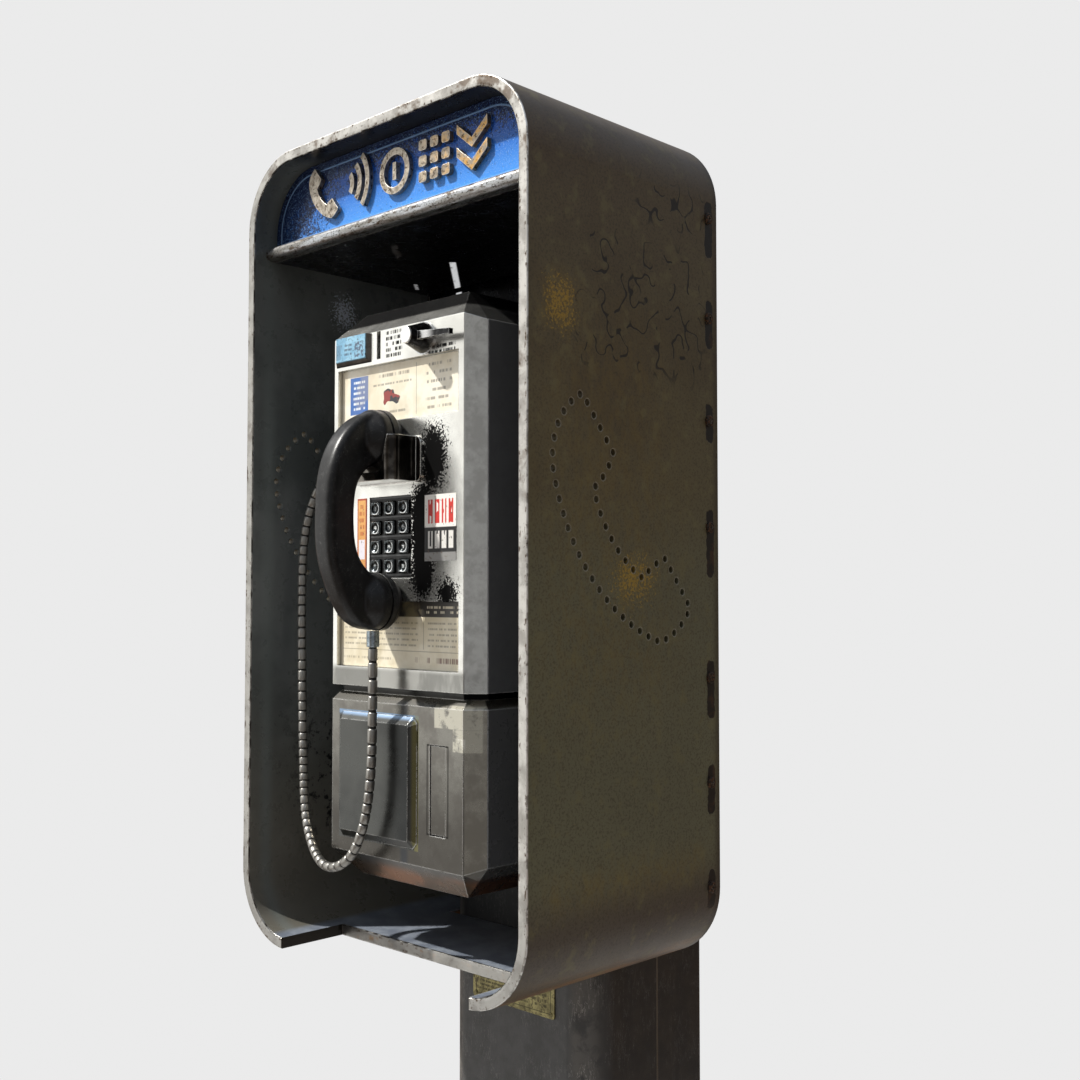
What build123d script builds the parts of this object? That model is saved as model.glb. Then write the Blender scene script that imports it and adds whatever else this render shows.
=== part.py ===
"""Pedestal payphone: a coin telephone in a round-cornered metal enclosure on a post.

Millimetres, +Z up, +X to the right as the caller faces the phone, -Y towards the caller.
The origin is the centre of the base plate's underside.
"""
from build123d import *

import os
from math import atan2, degrees, pi, radians, sqrt, tan

os.makedirs("parts", exist_ok=True)

# ---------------------------------------------------------------- driving dimensions
PEDESTAL_HEIGHT = 740.0  # ground to the enclosure's underside
POST_TOP = 560.0  # the post's top, above the enclosure's underside
POST_HALF_WIDTH = 99.8
POST_FRONT, POST_SEAM, POST_REAR = 190.0, 296.0, 373.0  # behind the enclosure's front edge
POST_WALL = 5.0
POST_CORNER = 28.0

SHELL_WIDTH, SHELL_HEIGHT, SHELL_DEPTH = 411.0, 800.0, 261.5
SHELL_WALL = 10.6
SHELL_CORNER = 72.0
RIM_ROUNDING = 1.2
NOTCH_HALF_WIDTH, NOTCH_DEPTH = 136.0, 75.0
SIGN_BOTTOM = 700.5  # underside of the lit sign box

PHONE_HALF_WIDTH = 111.4
PHONE_FRONT, PHONE_BACK = 30.3, 184.0
PHONE_BOTTOM, PHONE_TOP = 75.0, 630.0
PHONE_WALL = 5.0
PHONE_CHAMFER = 15.9  # upright front edges
LOWER_TOP, UPPER_BOTTOM = 255.0, 261.4  # the joint between the two housings

HANDSET_X = -8.0
EAR_Z, MOUTH_Z = 497.0, 343.0  # heights of the two caps' centres
CAP_RADIUS = 27.0

KEY_PITCH_X, KEY_PITCH_Z = 20.7, 18.4
KEY_WIDTH, KEY_HEIGHT, KEY_TRAVEL = 14.5, 13.5, 2.0
KEYPAD_CENTRE = (-7.7, 404.4)

CORD_RADIUS = 4.5
CORD_END = (-9.5, 12.0, 300.4)  # just under the strain relief below the mouth cap
GLAND_FACE = (-PHONE_HALF_WIDTH, 56.0, 507.6)
GLAND_REACH = 22.0

FIT = 0.3  # gap between parts that must not touch

# The enclosure's front edge and underside, seen from the origin.
SHELL_FRONT = -(POST_FRONT + POST_REAR) / 2
SHELL_BOTTOM = PEDESTAL_HEIGHT


# ---------------------------------------------------------------- planes and shared shapes
def facing(depth):
    """Plane parallel to the front, depth mm behind it: local (x, height), normal to the caller."""
    return Plane(origin=(0, SHELL_FRONT + depth, SHELL_BOTTOM), x_dir=(1, 0, 0), z_dir=(0, -1, 0))


def level(height):
    """Horizontal plane above the enclosure's underside: local (x, depth), normal up."""
    return Plane(origin=(0, SHELL_FRONT, SHELL_BOTTOM + height), x_dir=(1, 0, 0), z_dir=(0, 0, 1))


def side(x):
    """Plane across the object at x: local (depth, height), normal to the right."""
    return Plane(origin=(x, SHELL_FRONT, SHELL_BOTTOM), x_dir=(0, 1, 0), z_dir=(1, 0, 0))


def place(x, depth, height):
    """A point given by x, depth behind the enclosure's front and height above its underside."""
    return Vector(x, SHELL_FRONT + depth, SHELL_BOTTOM + height)


def block(x, depth, height, corner=0.0, mode=Mode.ADD):
    """A box between pairs of x, depth and height; corner rounds the corners seen from the front."""
    with BuildSketch(facing(depth[1])) as outline:
        with Locations(((x[0] + x[1]) / 2, (height[0] + height[1]) / 2)):
            Rectangle(x[1] - x[0], height[1] - height[0])
        if corner:
            fillet(outline.vertices(), corner)
    extrude(outline.sketch, amount=depth[1] - depth[0], mode=mode)


def rod(plane, centre, radius, length, mode=Mode.ADD):
    """A round bar or bore that starts on a plane and follows its normal."""
    with BuildSketch(plane) as outline:
        with Locations(centre):
            Circle(radius)
    extrude(outline.sketch, amount=length, mode=mode)


def finish(builder, name):
    """Label a finished sub-part and write it."""
    builder.part.label = name
    export_step(builder.part, f"parts/{name}.step")


# ---------------------------------------------------------------- fasteners
BOLT_RADIUS, BOLT_GRIP, BOLT_BELOW_GRIP = 4.0, 11.0, 9.0
HEXAGON_RADIUS, BOLT_HEAD, BOLT_NUT = 7.5, 5.3, 6.5
with BuildPart() as hex_bolt:  # head above the seat at z 0, nut below the gripped plates
    with BuildSketch():
        RegularPolygon(radius=HEXAGON_RADIUS, side_count=6)
    extrude(amount=BOLT_HEAD)
    with BuildSketch(Plane.XY.offset(-BOLT_GRIP - BOLT_BELOW_GRIP)):
        Circle(BOLT_RADIUS)
    extrude(amount=BOLT_GRIP + BOLT_BELOW_GRIP)
    with BuildSketch(Plane.XY.offset(-BOLT_GRIP)):
        RegularPolygon(radius=HEXAGON_RADIUS, side_count=6)
    extrude(amount=-BOLT_NUT)

SCREW_RADIUS, SCREW_LENGTH = 2.6, 17.0
PAN_RADIUS, PAN_HEIGHT, PAN_ROUNDING = 5.5, 3.0, 1.6
DRIVE_SPAN, DRIVE_WIDTH, DRIVE_DEPTH = 5.0, 1.0, 1.4
with BuildPart() as pan_screw:  # head above the seat at z 0
    with BuildSketch():
        Circle(PAN_RADIUS)
    extrude(amount=PAN_HEIGHT)
    fillet(pan_screw.faces().sort_by(Axis.Z)[-1].edges(), PAN_ROUNDING)
    with BuildSketch(pan_screw.faces().sort_by(Axis.Z)[-1]):
        Rectangle(DRIVE_SPAN, DRIVE_WIDTH)
        Rectangle(DRIVE_WIDTH, DRIVE_SPAN)
    extrude(amount=-DRIVE_DEPTH, mode=Mode.SUBTRACT)
    with BuildSketch():
        Circle(SCREW_RADIUS)
    extrude(amount=-SCREW_LENGTH)

PHONE_BOLTS = [(x, z) for x in (-60, 60) for z in (150, 520)]
BRACKET_BOLT_HEIGHTS = (110, 320, 500)
FLANGE_SCREW_HEIGHTS = (74, 172, 271, 414, 516, 615, 712)
FLANGE_SCREW_DEPTH = 247.0
SEAM_SCREW_HEIGHTS = (-660, -410, -160, 200, 480)
SEAM_SCREW_DEPTH = 289.0
BRACKET_WALL, BRACKET_REACH = 4.0, 150.0
PANEL_DEPTH, PANEL_WALL = 256.0, 3.0
LEG_BOLT_X = 130.0
SIDES = (-1, 1)

with BuildPart() as mounting_bolts:
    for x, z in PHONE_BOLTS:
        with Locations(Plane(origin=place(x, PHONE_BACK, z), z_dir=(0, -1, 0))):
            add(hex_bolt.part)
    for hand in SIDES:
        for z in BRACKET_BOLT_HEIGHTS:
            seat = place(hand * (POST_HALF_WIDTH + BRACKET_WALL), 225, z)
            with Locations(Plane(origin=seat, z_dir=(hand, 0, 0))):
                add(hex_bolt.part)
            seat = place(hand * LEG_BOLT_X, PANEL_DEPTH - BRACKET_WALL, z)
            with Locations(Plane(origin=seat, z_dir=(0, -1, 0))):
                add(hex_bolt.part)
finish(mounting_bolts, "mounting_bolts")

with BuildPart() as panel_screws:
    for hand in SIDES:
        for z in FLANGE_SCREW_HEIGHTS:
            seat = place(hand * SHELL_WIDTH / 2, FLANGE_SCREW_DEPTH, z)
            with Locations(Plane(origin=seat, z_dir=(hand, 0, 0))):
                add(pan_screw.part)
        for z in SEAM_SCREW_HEIGHTS:
            seat = place(hand * POST_HALF_WIDTH, SEAM_SCREW_DEPTH, z)
            with Locations(Plane(origin=seat, z_dir=(hand, 0, 0))):
                add(pan_screw.part)
finish(panel_screws, "panel_screws")

# ---------------------------------------------------------------- pedestal
BASE_THICKNESS = 12.0
with BuildPart() as base_plate:
    with BuildSketch():
        RectangleRounded(300, 320, 18)
        with GridLocations(240, 260, 2, 2):
            Circle(9, mode=Mode.SUBTRACT)
        Circle(35, mode=Mode.SUBTRACT)
    extrude(amount=BASE_THICKNESS)
finish(base_plate, "base_plate")

POST_HEIGHT = PEDESTAL_HEIGHT + POST_TOP - BASE_THICKNESS
BOLT_HOLE, SCREW_HOLE = BOLT_RADIUS + 0.2, SCREW_RADIUS + 0.1
WIRE_HOLE, WIRE_HOLE_HEIGHT = 9.0, 330.0  # lets the line into the phone's back
with BuildPart() as post_front_channel:
    with BuildSketch(level(BASE_THICKNESS - PEDESTAL_HEIGHT)) as section:
        with Locations((0, (POST_FRONT + POST_SEAM) / 2)):
            Rectangle(2 * POST_HALF_WIDTH, POST_SEAM - POST_FRONT)
        fillet(section.vertices().group_by(Axis.Y)[0], POST_CORNER)
        with BuildSketch(mode=Mode.PRIVATE) as bore:
            with Locations((0, (POST_FRONT + POST_SEAM) / 2 + POST_WALL)):
                Rectangle(2 * (POST_HALF_WIDTH - POST_WALL), POST_SEAM - POST_FRONT)
            fillet(bore.vertices().group_by(Axis.Y)[0], POST_CORNER - POST_WALL)
        add(bore.sketch, mode=Mode.SUBTRACT)
    extrude(amount=POST_HEIGHT)
    for spot in PHONE_BOLTS:
        rod(facing(POST_FRONT + 2 * POST_WALL), spot, BOLT_HOLE, 4 * POST_WALL, Mode.SUBTRACT)
    wire_spot = (0, WIRE_HOLE_HEIGHT)
    rod(facing(POST_FRONT + 2 * POST_WALL), wire_spot, WIRE_HOLE, 4 * POST_WALL, Mode.SUBTRACT)
    for z in BRACKET_BOLT_HEIGHTS:
        rod(side(-110), (225, z), BOLT_HOLE, 220, Mode.SUBTRACT)
    for z in SEAM_SCREW_HEIGHTS:
        rod(side(-110), (SEAM_SCREW_DEPTH, z), SCREW_HOLE, 220, Mode.SUBTRACT)
finish(post_front_channel, "post_front_channel")

LIP_OUTER, LIP_INNER = POST_HALF_WIDTH - POST_WALL - FIT, POST_HALF_WIDTH - POST_WALL - 3.5
with BuildPart() as post_rear_cover:
    with BuildSketch(level(BASE_THICKNESS - PEDESTAL_HEIGHT)) as section:
        with Locations((0, (POST_SEAM + FIT + POST_REAR) / 2)):
            Rectangle(2 * POST_HALF_WIDTH, POST_REAR - POST_SEAM - FIT)
        fillet(section.vertices().group_by(Axis.Y)[-1], 8)
        with Locations((0, (POST_SEAM + POST_REAR) / 2 - POST_WALL)):
            Rectangle(2 * LIP_OUTER, POST_REAR - POST_SEAM, mode=Mode.SUBTRACT)
        for hand in SIDES:
            with Locations((hand * (LIP_OUTER + LIP_INNER) / 2, POST_SEAM + 2)):
                Rectangle(LIP_OUTER - LIP_INNER, 28)
    extrude(amount=POST_HEIGHT)
    for z in SEAM_SCREW_HEIGHTS:
        rod(side(-110), (SEAM_SCREW_DEPTH, z), SCREW_HOLE, 220, Mode.SUBTRACT)
finish(post_rear_cover, "post_rear_cover")

with BuildPart() as post_top_cap:
    with BuildSketch(level(POST_TOP)) as section:
        with Locations((0, (POST_FRONT + POST_REAR) / 2)):
            Rectangle(2 * POST_HALF_WIDTH, POST_REAR - POST_FRONT)
        fillet(section.vertices().group_by(Axis.Y)[0], POST_CORNER)
        fillet(section.vertices().group_by(Axis.Y)[-1], 8)
    extrude(amount=3)
    with BuildSketch(level(POST_TOP)) as plug:
        with Locations((0, (POST_FRONT + POST_REAR) / 2)):
            RectangleRounded(2 * LIP_INNER - 2, POST_REAR - POST_FRONT - 16, 24)
    extrude(amount=-12)
finish(post_top_cap, "post_top_cap")

PLATE_X, PLATE_Z = (-60.7, 56.7), (-70.0, -26.0)
with BuildPart() as rating_plate:
    block(PLATE_X, (POST_FRONT - 1.2, POST_FRONT), PLATE_Z, corner=3)
    with BuildSketch(facing(POST_FRONT - 1.2)):
        with Locations(((PLATE_X[0] + PLATE_X[1]) / 2, (PLATE_Z[0] + PLATE_Z[1]) / 2)):
            with GridLocations(108, 35, 2, 2):
                Circle(2)
    extrude(amount=0.8)
finish(rating_plate, "rating_plate")

with BuildPart() as post_brackets:
    for hand in SIDES:
        inner = POST_HALF_WIDTH
        with BuildSketch(level(70)):
            with BuildLine():
                Polyline(
                    (hand * inner, 200),
                    (hand * (inner + BRACKET_WALL), 200),
                    (hand * (inner + BRACKET_WALL), PANEL_DEPTH - BRACKET_WALL),
                    (hand * BRACKET_REACH, PANEL_DEPTH - BRACKET_WALL),
                    (hand * BRACKET_REACH, PANEL_DEPTH),
                    (hand * inner, PANEL_DEPTH),
                    close=True,
                )
            make_face()
        extrude(amount=470)
    for z in BRACKET_BOLT_HEIGHTS:
        rod(side(-110), (225, z), BOLT_HOLE, 220, Mode.SUBTRACT)
        for hand in SIDES:
            rod(facing(PANEL_DEPTH + 1), (hand * LEG_BOLT_X, z), BOLT_HOLE, 6, Mode.SUBTRACT)
finish(post_brackets, "post_brackets")

# ---------------------------------------------------------------- enclosure
SYMBOL_HOLES, SYMBOL_HOLE_RADIUS = 50, 3.2
with BuildSketch() as handset_symbol:  # side view of a handset, local (depth, height)
    with BuildLine() as symbol_line:
        Line((67.7, 523.1), (107.7, 474.9))
        ThreePointArc((107.7, 474.9), (99.0, 458.0), (82.0, 442.0))
        ThreePointArc((82.0, 442.0), (103.6, 401.0), (148.7, 364.1))
        ThreePointArc((148.7, 364.1), (163.0, 375.5), (180.5, 382.6))
        Line((180.5, 382.6), (217.4, 337.4))
        ThreePointArc((217.4, 337.4), (197.9, 317.5), (172.3, 306.7))
        ThreePointArc((172.3, 306.7), (79.5, 364.0), (31.3, 454.4))
        ThreePointArc((31.3, 454.4), (38.5, 496.4), (67.7, 523.1))
    make_face()
symbol_wire = handset_symbol.sketch.faces()[0].outer_wire()
symbol_pitch = symbol_wire.length / SYMBOL_HOLES
symbol_spots = symbol_wire.positions(
    [i * symbol_pitch for i in range(SYMBOL_HOLES)], position_mode=PositionMode.LENGTH
)

POST_GAP = 1.5  # between the post and the sheets it passes through
with BuildPart() as enclosure_shell:
    with BuildSketch(facing(0)):
        with Locations((0, SHELL_HEIGHT / 2)):
            RectangleRounded(SHELL_WIDTH, SHELL_HEIGHT, SHELL_CORNER)
            RectangleRounded(
                SHELL_WIDTH - 2 * SHELL_WALL,
                SHELL_HEIGHT - 2 * SHELL_WALL,
                SHELL_CORNER - SHELL_WALL,
                mode=Mode.SUBTRACT,
            )
    extrude(amount=-SHELL_DEPTH)
    notch_x = (-NOTCH_HALF_WIDTH, NOTCH_HALF_WIDTH)
    block(notch_x, (-1, NOTCH_DEPTH), (-1, SHELL_WALL + 1), mode=Mode.SUBTRACT)
    post_x = (-POST_HALF_WIDTH - POST_GAP, POST_HALF_WIDTH + POST_GAP)
    block(post_x, (POST_FRONT - POST_GAP, SHELL_DEPTH + 1), (-1, SHELL_WALL + 1), mode=Mode.SUBTRACT)
    front_face = enclosure_shell.faces().filter_by(Axis.Y).sort_by(Axis.Y)[0]
    fillet(front_face.edges(), RIM_ROUNDING)
    for x in (-SHELL_WIDTH / 2 - 1, SHELL_WIDTH / 2 - SHELL_WALL - 1):
        with BuildSketch(side(x)) as holes:
            with Locations(*symbol_spots):
                Circle(SYMBOL_HOLE_RADIUS)
            with Locations(*[(FLANGE_SCREW_DEPTH, z) for z in FLANGE_SCREW_HEIGHTS]):
                Circle(SCREW_HOLE)
        extrude(holes.sketch, amount=SHELL_WALL + 2, mode=Mode.SUBTRACT)
finish(enclosure_shell, "enclosure_shell")

LINING_WIDTH = SHELL_WIDTH - 2 * SHELL_WALL - 2 * FIT
LINING_HEIGHT = SHELL_HEIGHT - 2 * SHELL_WALL - 2 * FIT
LINING_CORNER = SHELL_CORNER - SHELL_WALL - FIT
FLANGE_DEPTH = 18.0
with BuildPart() as back_panel:
    with BuildSketch(facing(PANEL_DEPTH)):
        with Locations((0, SHELL_HEIGHT / 2)):
            RectangleRounded(LINING_WIDTH, LINING_HEIGHT, LINING_CORNER)
    extrude(amount=-PANEL_WALL)
    with BuildSketch(facing(PANEL_DEPTH)):
        with Locations((0, SHELL_HEIGHT / 2)):
            RectangleRounded(LINING_WIDTH, LINING_HEIGHT, LINING_CORNER)
            RectangleRounded(
                LINING_WIDTH - 2 * PANEL_WALL,
                LINING_HEIGHT - 2 * PANEL_WALL,
                LINING_CORNER - PANEL_WALL,
                mode=Mode.SUBTRACT,
            )
    extrude(amount=FLANGE_DEPTH)
    opening_depth = (PANEL_DEPTH - FLANGE_DEPTH - 1, PANEL_DEPTH + PANEL_WALL + 1)
    block(post_x, opening_depth, (0, POST_TOP + 3 + POST_GAP), mode=Mode.SUBTRACT)
    for z in BRACKET_BOLT_HEIGHTS:
        for hand in SIDES:
            rod(facing(PANEL_DEPTH + 5), (hand * LEG_BOLT_X, z), BOLT_HOLE, 10, Mode.SUBTRACT)
    for z in FLANGE_SCREW_HEIGHTS:
        rod(side(-SHELL_WIDTH / 2), (FLANGE_SCREW_DEPTH, z), SCREW_HOLE, SHELL_WIDTH, Mode.SUBTRACT)
finish(back_panel, "back_panel")

# ---------------------------------------------------------------- lit sign
TRIM_FRONT, TRIM_BACK, TRIM_HEIGHT = 14.0, 27.3, 13.0
SIGN_FRONT, SIGN_THICKNESS = 28.0, 3.0
TRAY_WALL, TRAY_BACK = 2.5, 236.0
sign_x = (-LINING_WIDTH / 2, LINING_WIDTH / 2)
with BuildPart() as sign_trim:
    block(sign_x, (TRIM_FRONT, TRIM_BACK), (SIGN_BOTTOM, SIGN_BOTTOM + TRIM_HEIGHT))
    front_edges = sign_trim.edges().filter_by(Axis.X).group_by(Axis.Y)[0]
    fillet(front_edges, 6)
finish(sign_trim, "sign_trim")

with BuildPart() as sign_tray:
    block(sign_x, (SIGN_FRONT, TRAY_BACK), (SIGN_BOTTOM, SIGN_BOTTOM + TRAY_WALL))
    block(sign_x, (TRAY_BACK - TRAY_WALL, TRAY_BACK), (SIGN_BOTTOM, SIGN_BOTTOM + 25))
finish(sign_tray, "sign_tray")

panel_foot = SIGN_BOTTOM + TRAY_WALL
with BuildPart() as sign_panel:
    with BuildSketch(facing(SIGN_FRONT + SIGN_THICKNESS)):
        with Locations((0, SHELL_HEIGHT / 2)):
            RectangleRounded(LINING_WIDTH, LINING_HEIGHT, LINING_CORNER)
        with Locations((0, panel_foot + 100)):
            Rectangle(SHELL_WIDTH, 200, mode=Mode.INTERSECT)
    extrude(amount=SIGN_THICKNESS)
finish(sign_panel, "sign_panel")

SYMBOL_HEIGHT, SYMBOL_Z, SYMBOL_RELIEF = 56.0, 755.0, 5.0
symbol_scale = SYMBOL_HEIGHT / handset_symbol.sketch.bounding_box().size.Y
symbol_centre = handset_symbol.sketch.bounding_box().center()
with BuildPart() as sign_symbols:  # handset, sound waves, coin, keypad, arrows
    with BuildSketch(facing(SIGN_FRONT)):
        with BuildSketch(mode=Mode.PRIVATE) as small_handset:
            add(handset_symbol.sketch.translate(-symbol_centre))
            scale(by=symbol_scale)
        with Locations((-107, SYMBOL_Z)):
            add(small_handset.sketch)
        with BuildSketch(mode=Mode.PRIVATE) as waves:
            for radius in (38, 26, 14):
                Circle(radius + 3)
                Circle(radius - 3, mode=Mode.SUBTRACT)
            Polygon((0, 0), (50, 42), (50, -42), align=None, mode=Mode.INTERSECT)
        with Locations((-74, SYMBOL_Z)):
            add(waves.sketch)
        with Locations((5, SYMBOL_Z - 3)):
            Circle(22)
            Circle(15.5, mode=Mode.SUBTRACT)
            Rectangle(5, 17)
        with Locations((62, SYMBOL_Z - 3)):
            with GridLocations(16, 15, 3, 3):
                RectangleRounded(11, 10, 2.5)
        for drop in (-12, 9):
            with Locations((113, SYMBOL_Z + drop)):
                Polygon((-20, 10), (0, -6), (20, 10), (20, 1), (0, -15), (-20, 1), align=None)
    extrude(amount=SYMBOL_RELIEF)
finish(sign_symbols, "sign_symbols")

LAMP_DEPTH, LAMP_HEIGHT = 120.0, 752.0
with BuildPart() as lamp_tube:
    rod(side(-144), (LAMP_DEPTH, LAMP_HEIGHT), 8, 288)
    rod(side(-149), (LAMP_DEPTH, LAMP_HEIGHT), 1.5, 298)
finish(lamp_tube, "lamp_tube")

with BuildPart() as lamp_gear:  # two holders and the ballast
    for hand in SIDES:
        holder_x = tuple(sorted((hand * 145, hand * 155)))
        block(holder_x, (108, 132), (panel_foot, 768), corner=3)
    rod(side(-160), (LAMP_DEPTH, LAMP_HEIGHT), 2, 320, Mode.SUBTRACT)
    block((-60, 60), (165, 205), (panel_foot, panel_foot + 28))
finish(lamp_gear, "lamp_gear")

# ---------------------------------------------------------------- phone housings
BEVEL_FRONT, BEVEL_SIDE = (24.3, 26.0), (35.0, 32.3)  # inset and height at front and sides


def case_form(inset, back):
    """The phone's outer form, or the hollow inside it, as three outlines crossed."""
    wide, front = PHONE_HALF_WIDTH, PHONE_FRONT
    low, high = PHONE_BOTTOM, PHONE_TOP
    with BuildSketch(facing(back)) as front_view:
        with BuildLine():
            Polyline(
                (wide - BEVEL_SIDE[0], high), (wide, high - BEVEL_SIDE[1]),
                (wide, low + BEVEL_SIDE[1]), (wide - BEVEL_SIDE[0], low),
                (BEVEL_SIDE[0] - wide, low), (-wide, low + BEVEL_SIDE[1]),
                (-wide, high - BEVEL_SIDE[1]), (BEVEL_SIDE[0] - wide, high), close=True,
            )
        make_face()
        if inset:
            offset(amount=-inset, kind=Kind.INTERSECTION)
    extrude(front_view.sketch, amount=back - front)
    with BuildSketch(side(-wide)) as side_view:
        with BuildLine():
            Polyline(
                (back + inset, high), (front + BEVEL_FRONT[0], high), (front, high - BEVEL_FRONT[1]),
                (front, low + BEVEL_FRONT[1]), (front + BEVEL_FRONT[0], low), (back + inset, low),
                close=True,
            )
        make_face()
        if inset:
            offset(amount=-inset, kind=Kind.INTERSECTION)
    extrude(side_view.sketch, amount=2 * wide, mode=Mode.INTERSECT)
    with BuildSketch(level(low)) as plan_view:
        with BuildLine():
            Polyline(
                (wide - PHONE_CHAMFER, front), (wide, front + PHONE_CHAMFER), (wide, back + inset),
                (-wide, back + inset), (-wide, front + PHONE_CHAMFER), (PHONE_CHAMFER - wide, front),
                close=True,
            )
        make_face()
        if inset:
            offset(amount=-inset, kind=Kind.INTERSECTION)
    extrude(plan_view.sketch, amount=high - low, mode=Mode.INTERSECT)


def corner_plane(hand, end):
    """The facet between an upright chamfer and the bevels of the top (end 1) or bottom (end -1)."""
    peak = PHONE_TOP if end > 0 else PHONE_BOTTOM
    wide = PHONE_HALF_WIDTH
    at_front = place(hand * (wide - PHONE_CHAMFER), PHONE_FRONT, peak - end * BEVEL_FRONT[1])
    at_side = place(hand * wide, PHONE_FRONT + PHONE_CHAMFER, peak - end * BEVEL_SIDE[1])
    at_peak = place(hand * (wide - BEVEL_SIDE[0]), PHONE_FRONT + BEVEL_FRONT[0], peak)
    normal = (at_side - at_front).cross(at_peak - at_front)
    if normal.X * hand < 0:
        normal = -normal
    return Plane(origin=at_front, z_dir=normal)


with BuildPart() as phone_form:
    case_form(0, PHONE_BACK)
    for hand in SIDES:
        for end in (1, -1):
            split(bisect_by=corner_plane(hand, end), keep=Keep.BOTTOM)

with BuildPart() as phone_hollow:
    case_form(PHONE_WALL, PHONE_BACK)

LEDGE = 8.0  # the lower housing's shoulder under the joint, as wide as it is high
with BuildPart() as upper_hollow:
    add(phone_hollow.part)
    split(bisect_by=level(UPPER_BOTTOM + PHONE_WALL), keep=Keep.TOP)

with BuildPart() as lower_hollow:
    add(phone_hollow.part)
    split(bisect_by=level(LOWER_TOP - LEDGE - 2), keep=Keep.BOTTOM)

CARD_DEPTH, CARD_THICKNESS = 5.6, 0.8
UPPER_CARD_X, UPPER_CARD_Z = (-89.6, 88.3), (515.4, 572.0)
LOWER_CARD_X, LOWER_CARD_Z = (-89.0, 89.0), (280.0, 343.5)
SLOT_X, SLOT_Z = (-28.8, -23.4), (577.0, 604.0)
RELEASE_X, RELEASE_Z, SHAFT_RADIUS = 41.0, 588.0, 4.0
KEYPAD_X, KEYPAD_Z = (-38.5, 23.5), (365.5, 443.2)
LEVER_SLOT_X, LEVER_SLOT_Z = (-16.0, 0.0), (458.0, 474.0)
LOCK_DEPTH, UPPER_LOCK_Z, VAULT_LOCK_Z, LOCK_RADIUS = 120.0, 440.0, 170.0, 9.0
CHUTE_X, CHUTE_DEPTH = (-34.0, -18.0), (66.0, 106.0)
COIN_PORT_X, COIN_PORT_DEPTH = (-38.0, -14.0), (62.0, 110.0)
inside_front = PHONE_FRONT + PHONE_WALL
through_front = (PHONE_FRONT - 1, inside_front + 1)
inner_half = PHONE_HALF_WIDTH - PHONE_WALL

with BuildPart() as upper_housing:
    add(phone_form.part)
    split(bisect_by=level(UPPER_BOTTOM), keep=Keep.TOP)
    add(upper_hollow.part, mode=Mode.SUBTRACT)
    for card_x, card_z in ((UPPER_CARD_X, UPPER_CARD_Z), (LOWER_CARD_X, LOWER_CARD_Z)):
        pad_x = (card_x[0] - 3, card_x[1] + 3)
        pad_z = (card_z[0] - 3, card_z[1] + 3)
        block(pad_x, (inside_front, inside_front + 4), pad_z)
        block(card_x, (PHONE_FRONT - 1, PHONE_FRONT + CARD_DEPTH), card_z, mode=Mode.SUBTRACT)
    block(SLOT_X, through_front, SLOT_Z, mode=Mode.SUBTRACT)
    block(KEYPAD_X, through_front, KEYPAD_Z, mode=Mode.SUBTRACT)
    block(LEVER_SLOT_X, through_front, LEVER_SLOT_Z, mode=Mode.SUBTRACT)
    rod(facing(inside_front + 1), (RELEASE_X, RELEASE_Z), SHAFT_RADIUS + 0.4, 8, Mode.SUBTRACT)
    rod(side(inner_half - 1), (LOCK_DEPTH, UPPER_LOCK_Z), LOCK_RADIUS + 0.4, 8, Mode.SUBTRACT)
    rod(side(-PHONE_HALF_WIDTH - 1), (GLAND_FACE[1], GLAND_FACE[2] + 2), 6, 8, Mode.SUBTRACT)
    floor = (UPPER_BOTTOM - 1, UPPER_BOTTOM + PHONE_WALL + 1)
    block(COIN_PORT_X, COIN_PORT_DEPTH, floor, mode=Mode.SUBTRACT)
finish(upper_housing, "upper_housing")

NECK_INSET = 8.0
DOOR_X, DOOR_Z, DOOR_RELIEF = (-83.0, 34.0), (115.0, 237.0), 6.0
DOOR_PLUG = 4.0  # how far the door's plug sits inside the plate's edge
FLAP_X, FLAP_Z = (51.0, 72.0), (131.0, 213.0)
with BuildPart() as lower_housing:
    add(phone_form.part)
    split(bisect_by=level(LOWER_TOP), keep=Keep.BOTTOM)
    rim = lower_housing.faces().sort_by(Axis.Z)[-1].edges().sort_by(Axis.Y)[:-1]
    chamfer(rim, LEDGE)
    with BuildSketch(level(LOWER_TOP)):
        with BuildLine():
            neck_half, neck_front = PHONE_HALF_WIDTH - NECK_INSET, PHONE_FRONT + NECK_INSET
            Polyline(
                (-neck_half, PHONE_BACK), (-neck_half, neck_front + PHONE_CHAMFER),
                (PHONE_CHAMFER - neck_half, neck_front), (neck_half - PHONE_CHAMFER, neck_front),
                (neck_half, neck_front + PHONE_CHAMFER), (neck_half, PHONE_BACK), close=True,
            )
        make_face()
    extrude(amount=UPPER_BOTTOM - LOWER_TOP)
    add(lower_hollow.part, mode=Mode.SUBTRACT)
    block(
        (DOOR_X[0] + DOOR_PLUG - FIT, DOOR_X[1] - DOOR_PLUG + FIT),
        through_front,
        (DOOR_Z[0] + DOOR_PLUG - FIT, DOOR_Z[1] - DOOR_PLUG + FIT),
        mode=Mode.SUBTRACT,
    )
    block(FLAP_X, through_front, FLAP_Z, mode=Mode.SUBTRACT)
    rod(side(inner_half - 1), (LOCK_DEPTH, VAULT_LOCK_Z), LOCK_RADIUS + 0.4, 8, Mode.SUBTRACT)
    block(COIN_PORT_X, COIN_PORT_DEPTH, (LOWER_TOP - 30, UPPER_BOTTOM + 1), mode=Mode.SUBTRACT)
finish(lower_housing, "lower_housing")

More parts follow.
